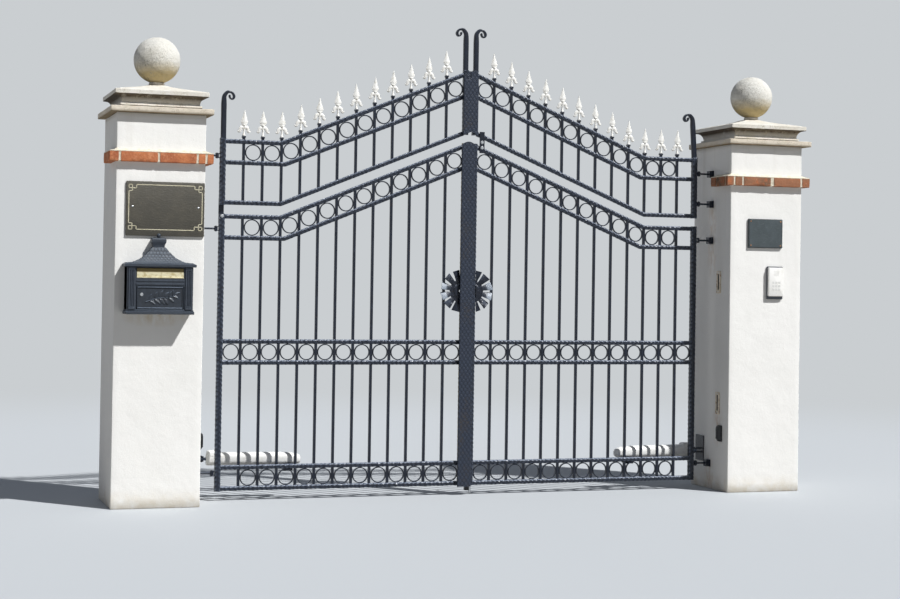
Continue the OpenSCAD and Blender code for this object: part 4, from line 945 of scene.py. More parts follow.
class GATE_OT_brick_bands(bpy.types.Operator):
    """A course of bricks round the front of each post, bedded and capped in mortar"""
    bl_idname = "gate.brick_bands"
    bl_label = "Brick bands"
    # Ends of the front's bricks from the post's middle, and the width of each joint between them
    cuts = {"left": mm([-302, -243, -18, 207, 259, 302]), "right": mm([-302, -249, -188, 26, 240, 302])}
    joints = {"left": mm([10, 10, 10, 10]), "right": mm([10, 10, 22, 12])}

    def execute(self, context):
        for side, seed in (("left", 4), ("right", 11)):
            x, (lo, hi) = POST_X[side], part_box(side + "_brick_band")
            # The bricks are 61 mm high, and their front lies 9 mm behind the solid's
            z0, z1, out, back = lo.z, lo.z + 0.061, (hi.x - lo.x) / 2, hi.y
            front = out - 0.009
            half, cuts = POST_HALF - 0.003, self.cuts[side]
            gaps = [0.0] + [j / 2 for j in self.joints[side]] + [0.0]
            bricks = [((a + gaps[i], -front), (b - gaps[i + 1], -half))
                      for i, (a, b) in enumerate(zip(cuts, cuts[1:]))]
            for s in (-1, 1):
                a, b = sorted((s * out, s * half))
                bricks += [((a, -half + 0.010), (b, back - 0.076)), ((a, back - 0.066), (b, back))]
            form, rng = Form(), np.random.default_rng(seed)
            for n, ((a, c), (b, d)) in enumerate(bricks):
                form.add(self.brick((x + a, c, z0), (x + b, d, z1), n), 0, float(rng.uniform(0.15, 1)))
            bed = half + 0.038
            a, b, c, d = x - bed, x + bed, 0.004 - front, back - 0.002
            form.add(loft([[(a, c, z), (b, c, z), (b, d, z), (a, d, z)] for z in (z0 + 0.003, z1 - 0.003)]), 1)
            form.add(self.fillet(x, half, out - 0.001, front - 0.001, back, z1 - 0.003, hi.z), 1)
            form.piece(side + "_brick_course", "posts", side + "_brick mortar", replaces=[side + "_brick_band"],
                       slot="brick", sharp=40)
        return {"FINISHED"}

    def brick(self, lo, hi, seed):
        """A brick with worn arrises and uneven faces."""
        wide, deep = max(2, int((hi[0] - lo[0]) / 0.012)), max(2, int((hi[1] - lo[1]) / 0.012))
        def ring(z, s):
            xs, ys = np.linspace(lo[0] + s, hi[0] - s, wide + 1), np.linspace(lo[1] + s, hi[1] - s, deep + 1)
            return ([(a, lo[1] + s, z) for a in xs[:-1]] + [(hi[0] - s, b, z) for b in ys[:-1]]
                    + [(a, hi[1] - s, z) for a in xs[:0:-1]] + [(lo[0] + s, b, z) for b in ys[:0:-1]])
        rings = [ring(z, s) for z, s in [(lo[2], 0.004), (lo[2] + 0.003, 0.001), (lo[2] + 0.02, 0.0),
                                         (hi[2] - 0.02, 0.0), (hi[2] - 0.003, 0.001), (hi[2], 0.004)]]
        return worn(loft(rings), (0.0022, 0.0016), (0.06, 0.014), seed=seed)

    def fillet(self, x, half, out, front, back, z0, top):
        """Mortar that slopes up from the bricks to the wall, round three sides."""
        def walk(w, y):
            corners = np.array([(-w, back), (-w, -y), (w, -y), (w, back)])
            sides = [np.linspace(a, b, 20)[:-1] for a, b in zip(corners, corners[1:])]
            return np.concatenate(sides + [corners[-1:]])
        rings = []
        for (a, c), (b, d) in zip(walk(half, half), walk(out, front)):
            rings.append([(a, c, z0), (b, d, z0), (b, d, z0 + 0.004),
                          ((a * 2 + b) / 3, (c * 2 + d) / 3, z0 + (top - z0) * 0.55), (a, c, top)])
        points, faces = loft(rings)
        slope = (points[:, 2] > z0 + 0.005) & (points[:, 2] < top - 0.001)
        points[slope, 2] += 0.002 * lumps(points[slope], 0.03, 6)
        return outward((points + (x, 0, 0), faces))


# Plates and boxes on the posts

class GATE_OT_plates(bpy.types.Operator):
    """The name plate and the number plate, bare, with their borders and screws"""
    bl_idname = "gate.plates"
    bl_label = "Plates"

    def execute(self, context):
        lo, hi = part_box("name_plate")
        front = lo.y + 0.002
        Form().add(self.board(lo, hi, front)).piece("slate_name_plate", "posts", "olive_slate",
                                                    replaces=["name_plate"], slot="slate_plate")
        x0, x1, z0, z1 = lo.x + 0.015, hi.x - 0.015, lo.z + 0.037, hi.z - 0.020
        # A square key at each corner: the border turns in, up and back, and a small square closes it
        border, a, b, c = Form(), 0.044, 0.020, 0.036
        for x, z, sx, sz in [(x0, z0, 1, 1), (x1, z0, -1, 1), (x0, z1, 1, -1), (x1, z1, -1, -1)]:
            for path in ([(a, 0), (a, b), (0, b)], [(0, c), (b, c), (b, 0), (0, 0), (0, b)]):
                turns = [(x + sx * u, z + sz * v) for u, v in path]
                for p, q in zip(turns, turns[1:]):
                    border.add(self.inlay(p, q, front))
        for p, q in [((x0 + a, z0), (x1 - a, z0)), ((x0 + a, z1), (x1 - a, z1)),
                     ((x0, z0 + c), (x0, z1 - c)), ((x1, z0 + c), (x1, z1 - c))]:
            border.add(self.inlay(p, q, front))
        border.piece("name_plate_border", "posts", "inlay", slot="cream_paint")
        z = (lo.z + hi.z) / 2 + 0.012
        screws("name_plate_screws", [(x, front, z) for x in (lo.x + 0.037, hi.x - 0.037)], 0.0055)

        lo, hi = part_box("number_plate")
        front, edge = lo.y + 0.002, 0.006
        Form().add(self.board(lo, hi, front)).piece("slate_number_plate", "posts", "slate_edge",
                                                    replaces=["number_plate"], slot="slate_plate")
        face = block((lo.x + edge, front - 0.0008, lo.z + edge), (hi.x - edge, front + 0.003, hi.z - edge),
                     0.0004)
        Form().add(face).piece("number_plate_face", "posts", "blue_slate", slot="slate_plate")
        screws("number_plate_screws", [(x, front - 0.0008, z) for x in (lo.x + 0.016, hi.x - 0.016)
                                       for z in (lo.z + 0.016, hi.z - 0.016)], 0.0045, "copper")
        return {"FINISHED"}

    def board(self, lo, hi, front):
        rings = []
        for y, s in [(hi.y, 0.0), (front + 0.004, 0.0), (front + 0.001, 0.0015), (front, 0.004)]:
            a, b, c, d, t = lo.x + s, hi.x - s, lo.z + s, hi.z - s, 0.003
            rings.append([(a + t, y, c), (b - t, y, c), (b, y, c + t), (b, y, d - t), (b - t, y, d),
                          (a + t, y, d), (a, y, d - t), (a, y, c + t)])
        return outward(loft(rings))

    def inlay(self, p, q, front, line=0.0045):
        """A line between two places on the plate."""
        (a, b), (c, d), half = sorted((p[0], q[0])), sorted((p[1], q[1])), line / 2
        return block((a - half, front - 0.0006, c - half), (b + half, front + 0.002, d + half), 0.0003)


class GATE_OT_letterbox(bpy.types.Operator):
    """The cast letterbox: fluted pilasters, hipped roof with a knob, flap and door with a sprig"""
    bl_idname = "gate.letterbox"
    bl_label = "Letterbox"

    def execute(self, context):
        lo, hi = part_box("letterbox_body")
        base, z1, wall = lo.z, hi.z, hi.y
        x0, x1, front = lo.x + 0.008, hi.x - 0.008, lo.y + 0.008
        foot = base + 0.026
        body = Form()
        body.add(block((x0, front + 0.011, foot - 0.002), (x1, wall, z1), 0.001))
        body.add(block((lo.x, lo.y, base), (hi.x, wall, base + 0.018), 0.003))
        body.add(block((x0 - 0.004, front - 0.004, base + 0.017), (x1 + 0.004, wall, foot), 0.003))
        for a, b in ((x0, x0 + 0.052), (x1 - 0.052, x1)):
            body.add(block((a, front, foot - 0.001), (b, wall, z1), 0.0015))
        inner = (x0 + 0.050, x1 - 0.050)
        for a, b, proud in [(foot - 0.001, base + 0.030, 0), (base + 0.158, base + 0.207, 0),
                            (z1 - 0.006, z1, 0), (base + 0.168, base + 0.178, 0.005),
                            (base + 0.188, base + 0.196, 0.003)]:
            body.add(block((inner[0], front - proud, a), (inner[1], wall - 0.01, b), 0.0012))
        for a in (x0 + 0.008, x1 - 0.044):
            body.add(self.pilaster(a, front, foot, z1))
            for z, h, proud in [(foot, 0.014, 0.0078), (foot + 0.014, 0.006, 0.0068),
                                (z1 - 0.014, 0.014, 0.0078), (z1 - 0.020, 0.006, 0.0068)]:
                body.add(block((a - 0.002, front - proud, z), (a + 0.038, front + 0.01, z + h), 0.002))
        body.piece("letterbox_case", "posts", "letterbox", replaces=["letterbox_body"], slot="grey_casting")
        self.roof(*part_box("letterbox_roof"))
        self.door(*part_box("letterbox_door"))
        lo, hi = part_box("letterbox_flap")
        flap = Form().add(block((lo.x, lo.y + 0.005, lo.z + 0.004), (hi.x, hi.y, hi.z), 0.002))
        flap.add(block((lo.x, lo.y, lo.z), (hi.x, lo.y + 0.007, lo.z + 0.009), 0.002))
        flap.add(pin((0, lo.y + 0.006, hi.z - 0.005), 0.0035, lo.x + 0.002, hi.x - 0.002, "X", 12))
        flap.piece("letterbox_brass_flap", "posts", "brass", replaces=["letterbox_flap"], slot="brass_flap")
        return {"FINISHED"}

    def pilaster(self, a, front, z0, z1):
        """A pilaster 36 mm wide and 6 mm proud, with three flutes."""
        face = []
        for u in np.linspace(0.036, 0.0, 73):
            flute = min(abs(u - c) for c in (0.009, 0.018, 0.027))
            deep = 0.0036 * math.sqrt(max(0.0, 1 - (flute / 0.0032) ** 2))
            face.append((a + u, front - 0.006 + deep))
        ring = [(a, front + 0.005), (a + 0.036, front + 0.005)] + face
        return outward(loft([[(x, y, z) for x, y in ring] for z in (z0, z1)]))

    def roof(self, lo, hi):
        """A hipped roof that sweeps out to the eaves, with small cast scales, a ridge box and a knob."""
        mid, wall, z = (lo.x + hi.x) / 2, hi.y, lo.z
        w, d, h, top = (hi.x - lo.x) / 2, hi.y - lo.y, 0.114, 0.036

        def outline(a, b, level):
            ring = [(mid + t, wall - b, level) for t in np.linspace(-a, a, 97)]
            ring += [(mid + a, wall - b + t * b, level) for t in np.linspace(0, 1, 37)[1:]]
            ring += [(mid - t, wall, level) for t in np.linspace(-a, a, 3)[1:-1]]
            return ring + [(mid - a, wall - t * b, level) for t in np.linspace(0, 1, 37)[:-1]]
        rings = [outline(w - 0.003, d - 0.003, z), outline(w, d, z + 0.002), outline(w, d, z + 0.015),
                 outline(w - 0.010, d - 0.010, z + 0.0195)]
        rows = 84
        for i in range(1, rows + 1):
            t = i / rows
            a, b = (w - 0.012) + (top - w + 0.012) * t, (d - 0.012) + (0.052 - d + 0.012) * t
            rings.append(outline(a, b, z + 0.020 + (h - 0.020) * t ** 2.4))
        points, faces = loft(rings)
        # Cast scales, drawn 20 mm wide in rows of 23 mm: the real ones are a fifth smaller and
        # would not show
        levels = [0.0] * 4 + [i / rows for i in range(1, rows + 1)]
        run = np.repeat(np.array(levels), len(rings[0])) * 0.20
        front_face = points[:, 1] < wall - 0.051
        along = np.where(front_face, points[:, 0] - mid, points[:, 1])
        height = scales(along, -run, 0.023, 0.020) * (run > 0.004) * (run < 0.194)
        points[:, 2] += 0.0042 * height
        # The scales' tops are kept as tone, which the paint turns into painted highlights
        form = Form().add((points, faces), 0, 0.7 * np.clip(height * 2.5 - 1.9, 0, 1))
        head = mm([(33, -4), (33, 8), (35, 14), (37.5, 20), (37.5, 23.5), (40, 25), (41.5, 32), (42, 40),
                   (41.5, 46), (39.5, 50), (36, 52)])
        form.add(loft([[(mid - a, wall - a - 0.011, z + h + k), (mid + a, wall - a - 0.011, z + h + k),
                        (mid + a, wall, z + h + k), (mid - a, wall, z + h + k)] for a, k in head]))
        knob = mm([(7.5, 50), (6.5, 55), (7.5, 57.5), (10.5, 61), (12, 68), (10.5, 74), (7, 77.8),
                   (0.5, 79.7)])
        form.add(turned([(r, z + h + k) for r, k in knob], (mid, wall - 0.030, 0), "Z", 28))
        form.piece("letterbox_cast_roof", "posts", "letterbox", replaces=["letterbox_roof"],
                   slot="grey_casting")

    def door(self, lo, hi):
        """A sunk door with a bead round it, a sprig of leaves in relief and a small lock."""
        back = hi.y - 0.004
        form = Form().add(block((lo.x, back, lo.z), (hi.x, hi.y, hi.z), 0.001))
        for a, b in [((lo.x, lo.z), (hi.x, lo.z + 0.009)), ((lo.x, hi.z - 0.009), (hi.x, hi.z)),
                     ((lo.x, lo.z), (lo.x + 0.009, hi.z)), ((hi.x - 0.009, lo.z), (hi.x, hi.z))]:
            form.add(block((a[0], back - 0.005, a[1]), (b[0], back + 0.001, b[1]), 0.003))
        root = np.array([(lo.x + hi.x) / 2 + 0.004, (lo.z + hi.z) / 2 - 0.002])
        stem = smooth_path(mm([(-85, -22), (-40, -6), (0, 2), (45, 2), (80, 20)]), 26) + root
        shell = sweep(stem, np.linspace(0.0036, 0.0016, 26), 0.003, ROUND_BAR)
        shell[0][:, 1] += back - 0.001
        form.add(shell)
        for i in range(3, 24, 4):
            for s in (-1, 1):
                along = stem[min(i + 1, 25)] - stem[i - 1]
                angle = math.atan2(along[1], along[0]) + s * 0.95
                form.add(self.leaf(stem[i], angle, 0.052 - abs(i - 11) * 0.0012, back))
        form.add(self.leaf(stem[-1], 0.5, 0.034, back))
        form.piece("letterbox_sprig_door", "posts", "door_coat", replaces=["letterbox_door"],
                   slot="grey_casting")
        barrel = mm([(9.5, 0), (9.5, -3), (8, -4.5), (6.6, -4.5), (6.4, -3), (0.5, -2.8)])
        lock = turned(barrel, (lo.x + 0.030, back, lo.z + 0.083), "Y", 24)
        Form().add(lock).piece("letterbox_lock", "posts", "zinc", slot="bare_steel")

    def leaf(self, root, angle, size, back):
        """A pointed leaf with a ridge down its middle."""
        t = np.linspace(0.02, 0.98, 11)
        wide = 0.26 * size * np.sin(math.pi * t ** 0.8) + 0.0003
        c, s = math.cos(angle), math.sin(angle)
        section = [(-1, 0.0), (-0.6, 0.0018), (0, 0.0042), (0.6, 0.0018), (1, 0.0), (0, -0.001)]
        return loft([[(root[0] + c * u - s * w * across, back - rise * min(1, w / 0.004) - 0.0002,
                       root[1] + s * u + c * w * across) for across, rise in section]
                     for u, w in zip(t * size, wide)])


class GATE_OT_door_station(bpy.types.Operator):
    """The intercom, the two slot plates and the photocells"""
    bl_idname = "gate.door_station"
    bl_label = "Door station"

    def execute(self, context):
        self.intercom(*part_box("intercom"))
        self.slot_plates(*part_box("slot_plates"))
        self.photocells(*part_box("photocells"))
        return {"FINISHED"}

    def intercom(self, lo, hi):
        """A grey back box with a white cover a little smaller, a speaker and keys; the box's band below and
        left of the cover is painted shade.
        """
        # The grey back box's band under the cover and at its left stands for the cover's shadow: painted shade
        back = Form().add(block((lo.x, hi.y - 0.014, lo.z), (hi.x, hi.y, hi.z), 0.003))
        back.piece("intercom_back_box", "posts", "station_back", slot="black_plastic")
        x0, x1, z0, z1 = lo.x + 0.003, hi.x, lo.z + 0.020, hi.z - 0.007
        r, rings = 0.007, []
        corners = [(x1 - r, z1 - r), (x0 + r, z1 - r), (x0 + r, z0 + r), (x1 - r, z0 + r)]
        for y, s in [(hi.y - 0.013, 0.0), (lo.y + 0.005, 0.0), (lo.y + 0.0018, 0.0012),
                     (lo.y + 0.0006, 0.004)]:
            rings.append([(cx + (r - s) * math.cos(a), y, cz + (r - s) * math.sin(a))
                          for quarter, (cx, cz) in enumerate(corners)
                          for a in np.linspace(quarter, quarter + 1, 7) * math.pi / 2])
        Form().add(outward(loft(rings))).piece("intercom_cover", "posts", "station", replaces=["intercom"],
                                               slot="white_paint")
        mid, face = (x0 + x1) / 2, lo.y + 0.0006
        # Five slots of the speaker and a call button, over nine keys
        marks = Form()
        for i in range(5):
            z = z1 - 0.024 - i * 0.007
            marks.add(block((mid - 0.020, face - 0.0003, z), (mid + 0.020, face + 0.001, z + 0.0022), 0.0002))
        marks.add(pin((mid, face, z0 + 0.022), 0.004, -0.0004, 0.001, "Y", 16, 0.0001))
        marks.piece("intercom_marks", "posts", "keys", slot="white_paint")
        spots = [(mid + column * 0.022, face + 0.0002, z0 + 0.045 + row * 0.022)
                 for column in (-1, 0, 1) for row in (0, 1, 2)]
        key = Form().add(block((-0.008, -0.0007, -0.007), (0.008, 0.001, 0.007), 0.0006))
        copies("intercom_keys", key, "keys", spots, "posts", "white_paint")

    def slot_plates(self, lo, hi):
        plates, slots, heads = Form(), Form(), []
        for y, z in [(hi.y - 0.026, hi.z - 0.072), (lo.y + 0.026, lo.z + 0.072)]:
            for a, b in [((-0.026, -0.072), (-0.010, 0.072)), ((0.010, -0.072), (0.026, 0.072)),
                         ((-0.0101, -0.072), (0.0101, -0.048)), ((-0.0101, 0.054), (0.0101, 0.072))]:
                plates.add(block((lo.x, y + a[0], z + a[1]), (hi.x, y + b[0], z + b[1]), 0.0008))
            # A near-black fill just behind each slot's face is painted shade inside the slot
            slots.add(block((lo.x + 0.003, y - 0.0102, z - 0.0482), (hi.x, y + 0.0102, z + 0.0542), 0.0004))
            heads += [(lo.x, y, z - 0.060), (lo.x, y, z + 0.063)]
        plates.piece("slot_plate_frames", "posts", "cream_steel", replaces=["slot_plates"], slot="cream_paint")
        slots.piece("slot_plate_recesses", "posts", "recess", slot="black_plastic")
        screws("slot_plate_screws", heads, 0.0045, turn=-math.pi / 2)

    def photocells(self, lo, hi):
        """A rounded hood on each post's inner face, with a smoked window."""
        cases, lenses = Form(), Form()
        y, z0, z1 = (lo.y + hi.y) / 2, lo.z, hi.z
        for x, s in ((lo.x, 1), (hi.x, -1)):
            rings = []
            for z, d, w in [(z0, 0.010, 0.024), (z0 + 0.003, 0.016, 0.025), (z0 + 0.020, 0.031, 0.025),
                            (z1 - 0.024, 0.031, 0.025), (z1 - 0.010, 0.028, 0.025),
                            (z1 - 0.003, 0.019, 0.0245), (z1, 0.009, 0.022)]:
                rings.append([(x, y + w, z)] + [
                    (x + s * max(0.002, d * math.cos(t) ** 0.55), y - w * math.sin(t), z)
                    for t in np.linspace(-math.pi / 2, math.pi / 2, 15)[1:-1]] + [(x, y - w, z)])
            cases.add(outward(loft(rings)))
            arc = [(x + s * (0.0312 * math.cos(t) ** 0.55), y - 0.0252 * math.sin(t))
                   for t in np.linspace(-1.0, 1.0, 11)]
            arc += [(x + s * 0.01, y - 0.018), (x + s * 0.01, y + 0.018)]
            lenses.add(outward(loft([[(*p, z) for p in arc] for z in (z0 + 0.034, z1 - 0.036)])))
        cases.piece("photocell_cases", "posts", "dark_plastic", replaces=["photocells"], slot="black_plastic")
        lenses.piece("photocell_lenses", "posts", "lens", slot="black_plastic")


# Ironwork of the leaves

class GATE_OT_frames(bpy.types.Operator):
    """Hammered rails and stiles of the leaves and their upper panels"""
    bl_idname = "gate.frames"
    bl_label = "Hammered frames"

    def execute(self, context):
        k, s = Layout(), context.scene.gate_sizes
        x0, x1 = s.stile - 0.004, LEAF_W - s.stile + 0.004
        outer, meet = s.stile / 2, LEAF_W - s.stile / 2
        levels = (s.low_rail, s.low_rail + k.band, s.mid_rail, s.mid_rail + k.band)
        gate = [[(x0, 0, z), (x1, 0, z)] for z in levels]
        gate += [k.knee_line(s.leaf_top, off, x0, x1) for off in (0, k.band)]
        panel = [k.knee_line(z, off, x0, x1)
                 for z, off in ((s.panel_top, 0), (s.panel_top, k.band), (s.panel_low, 0))]
        panel_meet = s.panel_low + k.rise(meet) - s.rail / 2 * k.skew
        stiles = [[(x, 0, low), (x, 0, high)] for x, low, high in [
            (outer, k.foot, k.gate_top), (meet, k.foot, k.meet_top - 0.006),
            (outer, k.panel_foot, k.outer_top), (meet, panel_meet, k.meet_panel_top)]]
        lengths = [("gate_rails", gate, s.rail, "iron", "gate_frame"),
                   ("gate_stile", stiles[:1], s.stile, "iron", None),
                   ("meeting_stile", stiles[1:2], s.stile, "old_iron", None),
                   ("panel_rails", panel, s.rail, "iron", "panel_frame"),
                   ("panel_stiles", stiles[2:], s.stile, "iron", None)]
        for side in SIDES:
            for name, lines, width, coat, node in lengths:
                points, edges = chained([placed(line, side) for line in lines])
                values = {"Width": width + 0.0008, "Pitch": s.dent_pitch, "Depth": s.dent_depth,
                          "Step": 0.0055, "Material": material(coat if side == "left" else "iron")}
                grow(f"{side}_hammered_{name}", "hammered", points, edges, values, side + "_leaf",
                     replaces=[f"{side}_{node}"] if node else (), slot="black_iron", sharp=50)
        return {"FINISHED"}


class GATE_OT_bars(bpy.types.Operator):
    """Plain square infill bars and the collars under the finials"""
    bl_idname = "gate.bars"
    bl_label = "Bars"

    def execute(self, context):
        k, s = Layout(), context.scene.gate_sizes
        for side in SIDES:
            lines, collars = [], Form()
            for i in range(1, s.bars + 1):
                x, z = k.bar_x(i), k.finial_z(i)
                lines.append([(x, 0, s.low_rail), (x, 0, s.leaf_top + k.rise(x))])
                lines.append([(x, 0, s.panel_low + k.rise(x)), (x, 0, z - 0.002)])
                collar = [(0.010, z - 0.014), (0.0125, z - 0.012), (0.0155, z - 0.011),
                          (0.0155, z - 0.002), (0.0140, z), (0.004, z)]
                collars.add(on_leaf(turned(collar, (x, 0, 0), "Z", 4, math.pi / 4), side))
            points, edges = chained([placed(line, side) for line in lines])
            grow(side + "_infill_bars", "bar", points, edges,
                 {"Width": s.bar, "Material": material("plain_iron")}, side + "_leaf",
                 slot="black_iron", sharp=30)
            collars.piece(side + "_finial_collars", side + "_leaf", "plain_iron", slot="black_iron")
        return {"FINISHED"}


class GATE_OT_rings(bpy.types.Operator):
    """Rings of flat bar in the bands"""
    bl_idname = "gate.rings"
    bl_label = "Rings"

    def execute(self, context):
        k, s = Layout(), context.scene.gate_sizes
        values = {"Outer": s.ring_outer, "Thickness": s.ring_thick, "Depth": s.ring_deep,
                  "Material": material("plain_iron")}
        gate = [(k.cell_x(i), 0, s.mid_rail + k.band / 2) for i in range(s.bars + 1)]
        for x in map(k.cell_x, range(1, s.bars + 1)):
            gate += [(x, 0, s.low_rail + k.band / 2), (x, 0, k.band_middle(s.leaf_top, x))]
        panel = [(k.cell_x(i), 0, k.band_middle(s.panel_top, k.cell_x(i))) for i in range(1, s.bars + 1)]
        for side in SIDES:
            for name, spots in (("gate_rings", gate), ("panel_rings", panel)):
                grow(f"{side}_flat_bar_{name}", "ring", placed(spots, side), [], values, side + "_leaf",
                     replaces=[f"{side}_{name}"], slot="black_iron", sharp=30)
        return {"FINISHED"}


class GATE_OT_scroll_stiles(bpy.types.Operator):
    """Ends of the upper panels' stiles, drawn out and rolled into hooked scrolls"""
    bl_idname = "gate.scroll_stiles"
    bl_label = "Scroll stiles"
    # Middle line of the hook and half its thickness: shares of the hook's width past the
    # stile, of its height and of the stile's width
    hook = [(0, -0.38, 0.44), (0, 0, 0.41), (0.01, 0.38, 0.36), (0.09, 0.65, 0.32), (0.3, 0.95, 0.26),
            (0.49, 0.97, 0.19), (0.67, 0.92, 0.17), (0.82, 0.73, 0.19), (0.89, 0.5, 0.21), (0.85, 0.31, 0.2),
            (0.75, 0.2, 0.17), (0.59, 0.24, 0.13), (0.51, 0.39, 0.15), (0.49, 0.55, 0.17), (0.5, 0.65, 0.08)]

    def execute(self, context):
        k, s = Layout(), context.scene.gate_sizes
        for side in SIDES:
            outer = self.scroll(s, k.outer_top, s.outer_scroll, s.lean if side == "right" else 0.0)
            meet = mirrored(self.scroll(s, k.meet_panel_top, s.meet_scroll, 0.0), LEAF_W / 2)
            form = Form().add(on_leaf(outward(outer), side)).add(on_leaf(outward(meet), side))
            form.piece(side + "_scrolled_stiles", side + "_leaf", "plain_iron",
                       replaces=[side + "_scroll_stiles"], slot="black_iron", sharp=50)
        return {"FINISHED"}

    def scroll(self, s, top, h, lean):
        """Straight above its top rail, then tapered and rolled over into a hook that closes in."""
        root = self.hook[0][2] * s.stile
        marks = [(s.stile - root + u * (s.hook_w - root), top + h + v * s.hook_h, w * s.stile)
                 for u, v, w in self.hook]
        foot = (s.stile - root, top - 0.004, root)
        line = np.concatenate([np.linspace(foot, marks[0], 12)[:-1], smooth_path(marks, 70)])
        line[:, 0] += lean * (line[:, 1] - top) / h
        line[:, 2] *= 1 - 0.03 * (1 + lumps(line, 0.02, 3)) / 2
        deep = np.interp(np.arange(len(line)), [0, 30, len(line) - 1], [0.0138, 0.0136, 0.0105])
        return sweep(line[:, :2], line[:, 2], deep, SQUARE_BAR)


class GATE_OT_finials(bpy.types.Operator):
    """Cast fleur-de-lis finials on the bars"""
    bl_idname = "gate.finials"
    bl_label = "Finials"

    def execute(self, context):
        k = Layout()
        for side in SIDES:
            spots = placed([(k.bar_x(i), 0, k.finial_z(i)) for i in range(1, k.s.bars + 1)], side)
            copies(side + "_fleur_finials", self.fleur(), "finial", spots, side + "_leaf", "white_casting",
                   lean=0.03, replaces=[side + "_finials"], sharp=40)
        return {"FINISHED"}

    def fleur(self):
        """One finial: a turned foot, two petals and a ridged blade, from heights in millimetres."""
        form = Form()
        foot = mm([(9.8, 0), (10.4, 2), (9.2, 6), (6.6, 14), (5.6, 24), (5.4, 40), (7, 50), (8.5, 56),
                   (8.5, 62), (10.5, 64.5), (10.5, 67), (7, 70)])
        form.add(turned(foot, (0, 0, 0), "Z", 16))
        # Two round-shouldered petals leave the neck, droop and turn up at their tips
        petal = smooth_path(mm([(0, 49), (8, 51.5), (16, 50), (21.5, 43), (23.5, 34.5), (27, 27),
                                (34, 25.8), (40.5, 33.5)]), 30)
        along = np.linspace(0, 7, 30)
        wide = np.interp(along, range(8), mm([10, 11.2, 11.4, 10.6, 9.2, 8, 6.2, 0.8]))
        deep = np.interp(along, range(8), mm([5.5, 6, 6, 5.6, 5.2, 4.8, 4, 1]))
        shell = sweep(petal, wide, deep, ROUND_BAR)
        form.add(shell).add(mirrored(shell, 0))
        # A ridged blade over a cup that narrows to the neck: height, half width and half depth
        blade = mm([(63, 10.5, 5), (67, 15, 5.8), (73.5, 18, 6.4), (76, 17.2, 5.8), (78.5, 20.5, 6.4),
                    (84, 22.8, 6.8), (90, 21.2, 6.6), (104, 16.2, 5.8), (120, 11.2, 4.8), (137, 6.6, 3.6),
                    (150, 3.2, 2.4), (157.5, 0.8, 0.8)])
        section = [(1, 0, 0), (0.86, 1, 0), (0.16, 0, 1), (-0.16, 0, 1), (-0.86, 1, 0),
                   (-1, 0, 0), (-0.86, -1, 0), (-0.16, 0, -1), (0.16, 0, -1), (0.86, -1, 0)]
        return form.add(loft([[(w * across, 0.0013 * edge + d * ridge, z) for across, edge, ridge in section]
                              for z, w, d in blade]))


def scales(x, z, row, wide):
    """Height, 0 to 1, of a sheet pressed with rows of round scales that overlap downwards."""
    best, base = np.zeros_like(x), np.floor(z / row)
    for shift in (-1, 0, 1, 2):
        n = base + shift
        offset = (n % 2) * wide / 2
        cx = np.round((x - offset) / wide) * wide + offset
        d = np.hypot(x - cx, (z - n * row) * 0.95)
        h = np.sqrt(np.clip(1 - (d / (wide * 0.60)) ** 2, 0, 1)) + 0.35 * (n * row - z) / row
        best = np.maximum(best, np.where(d < wide * 0.60, h, 0))
    return best


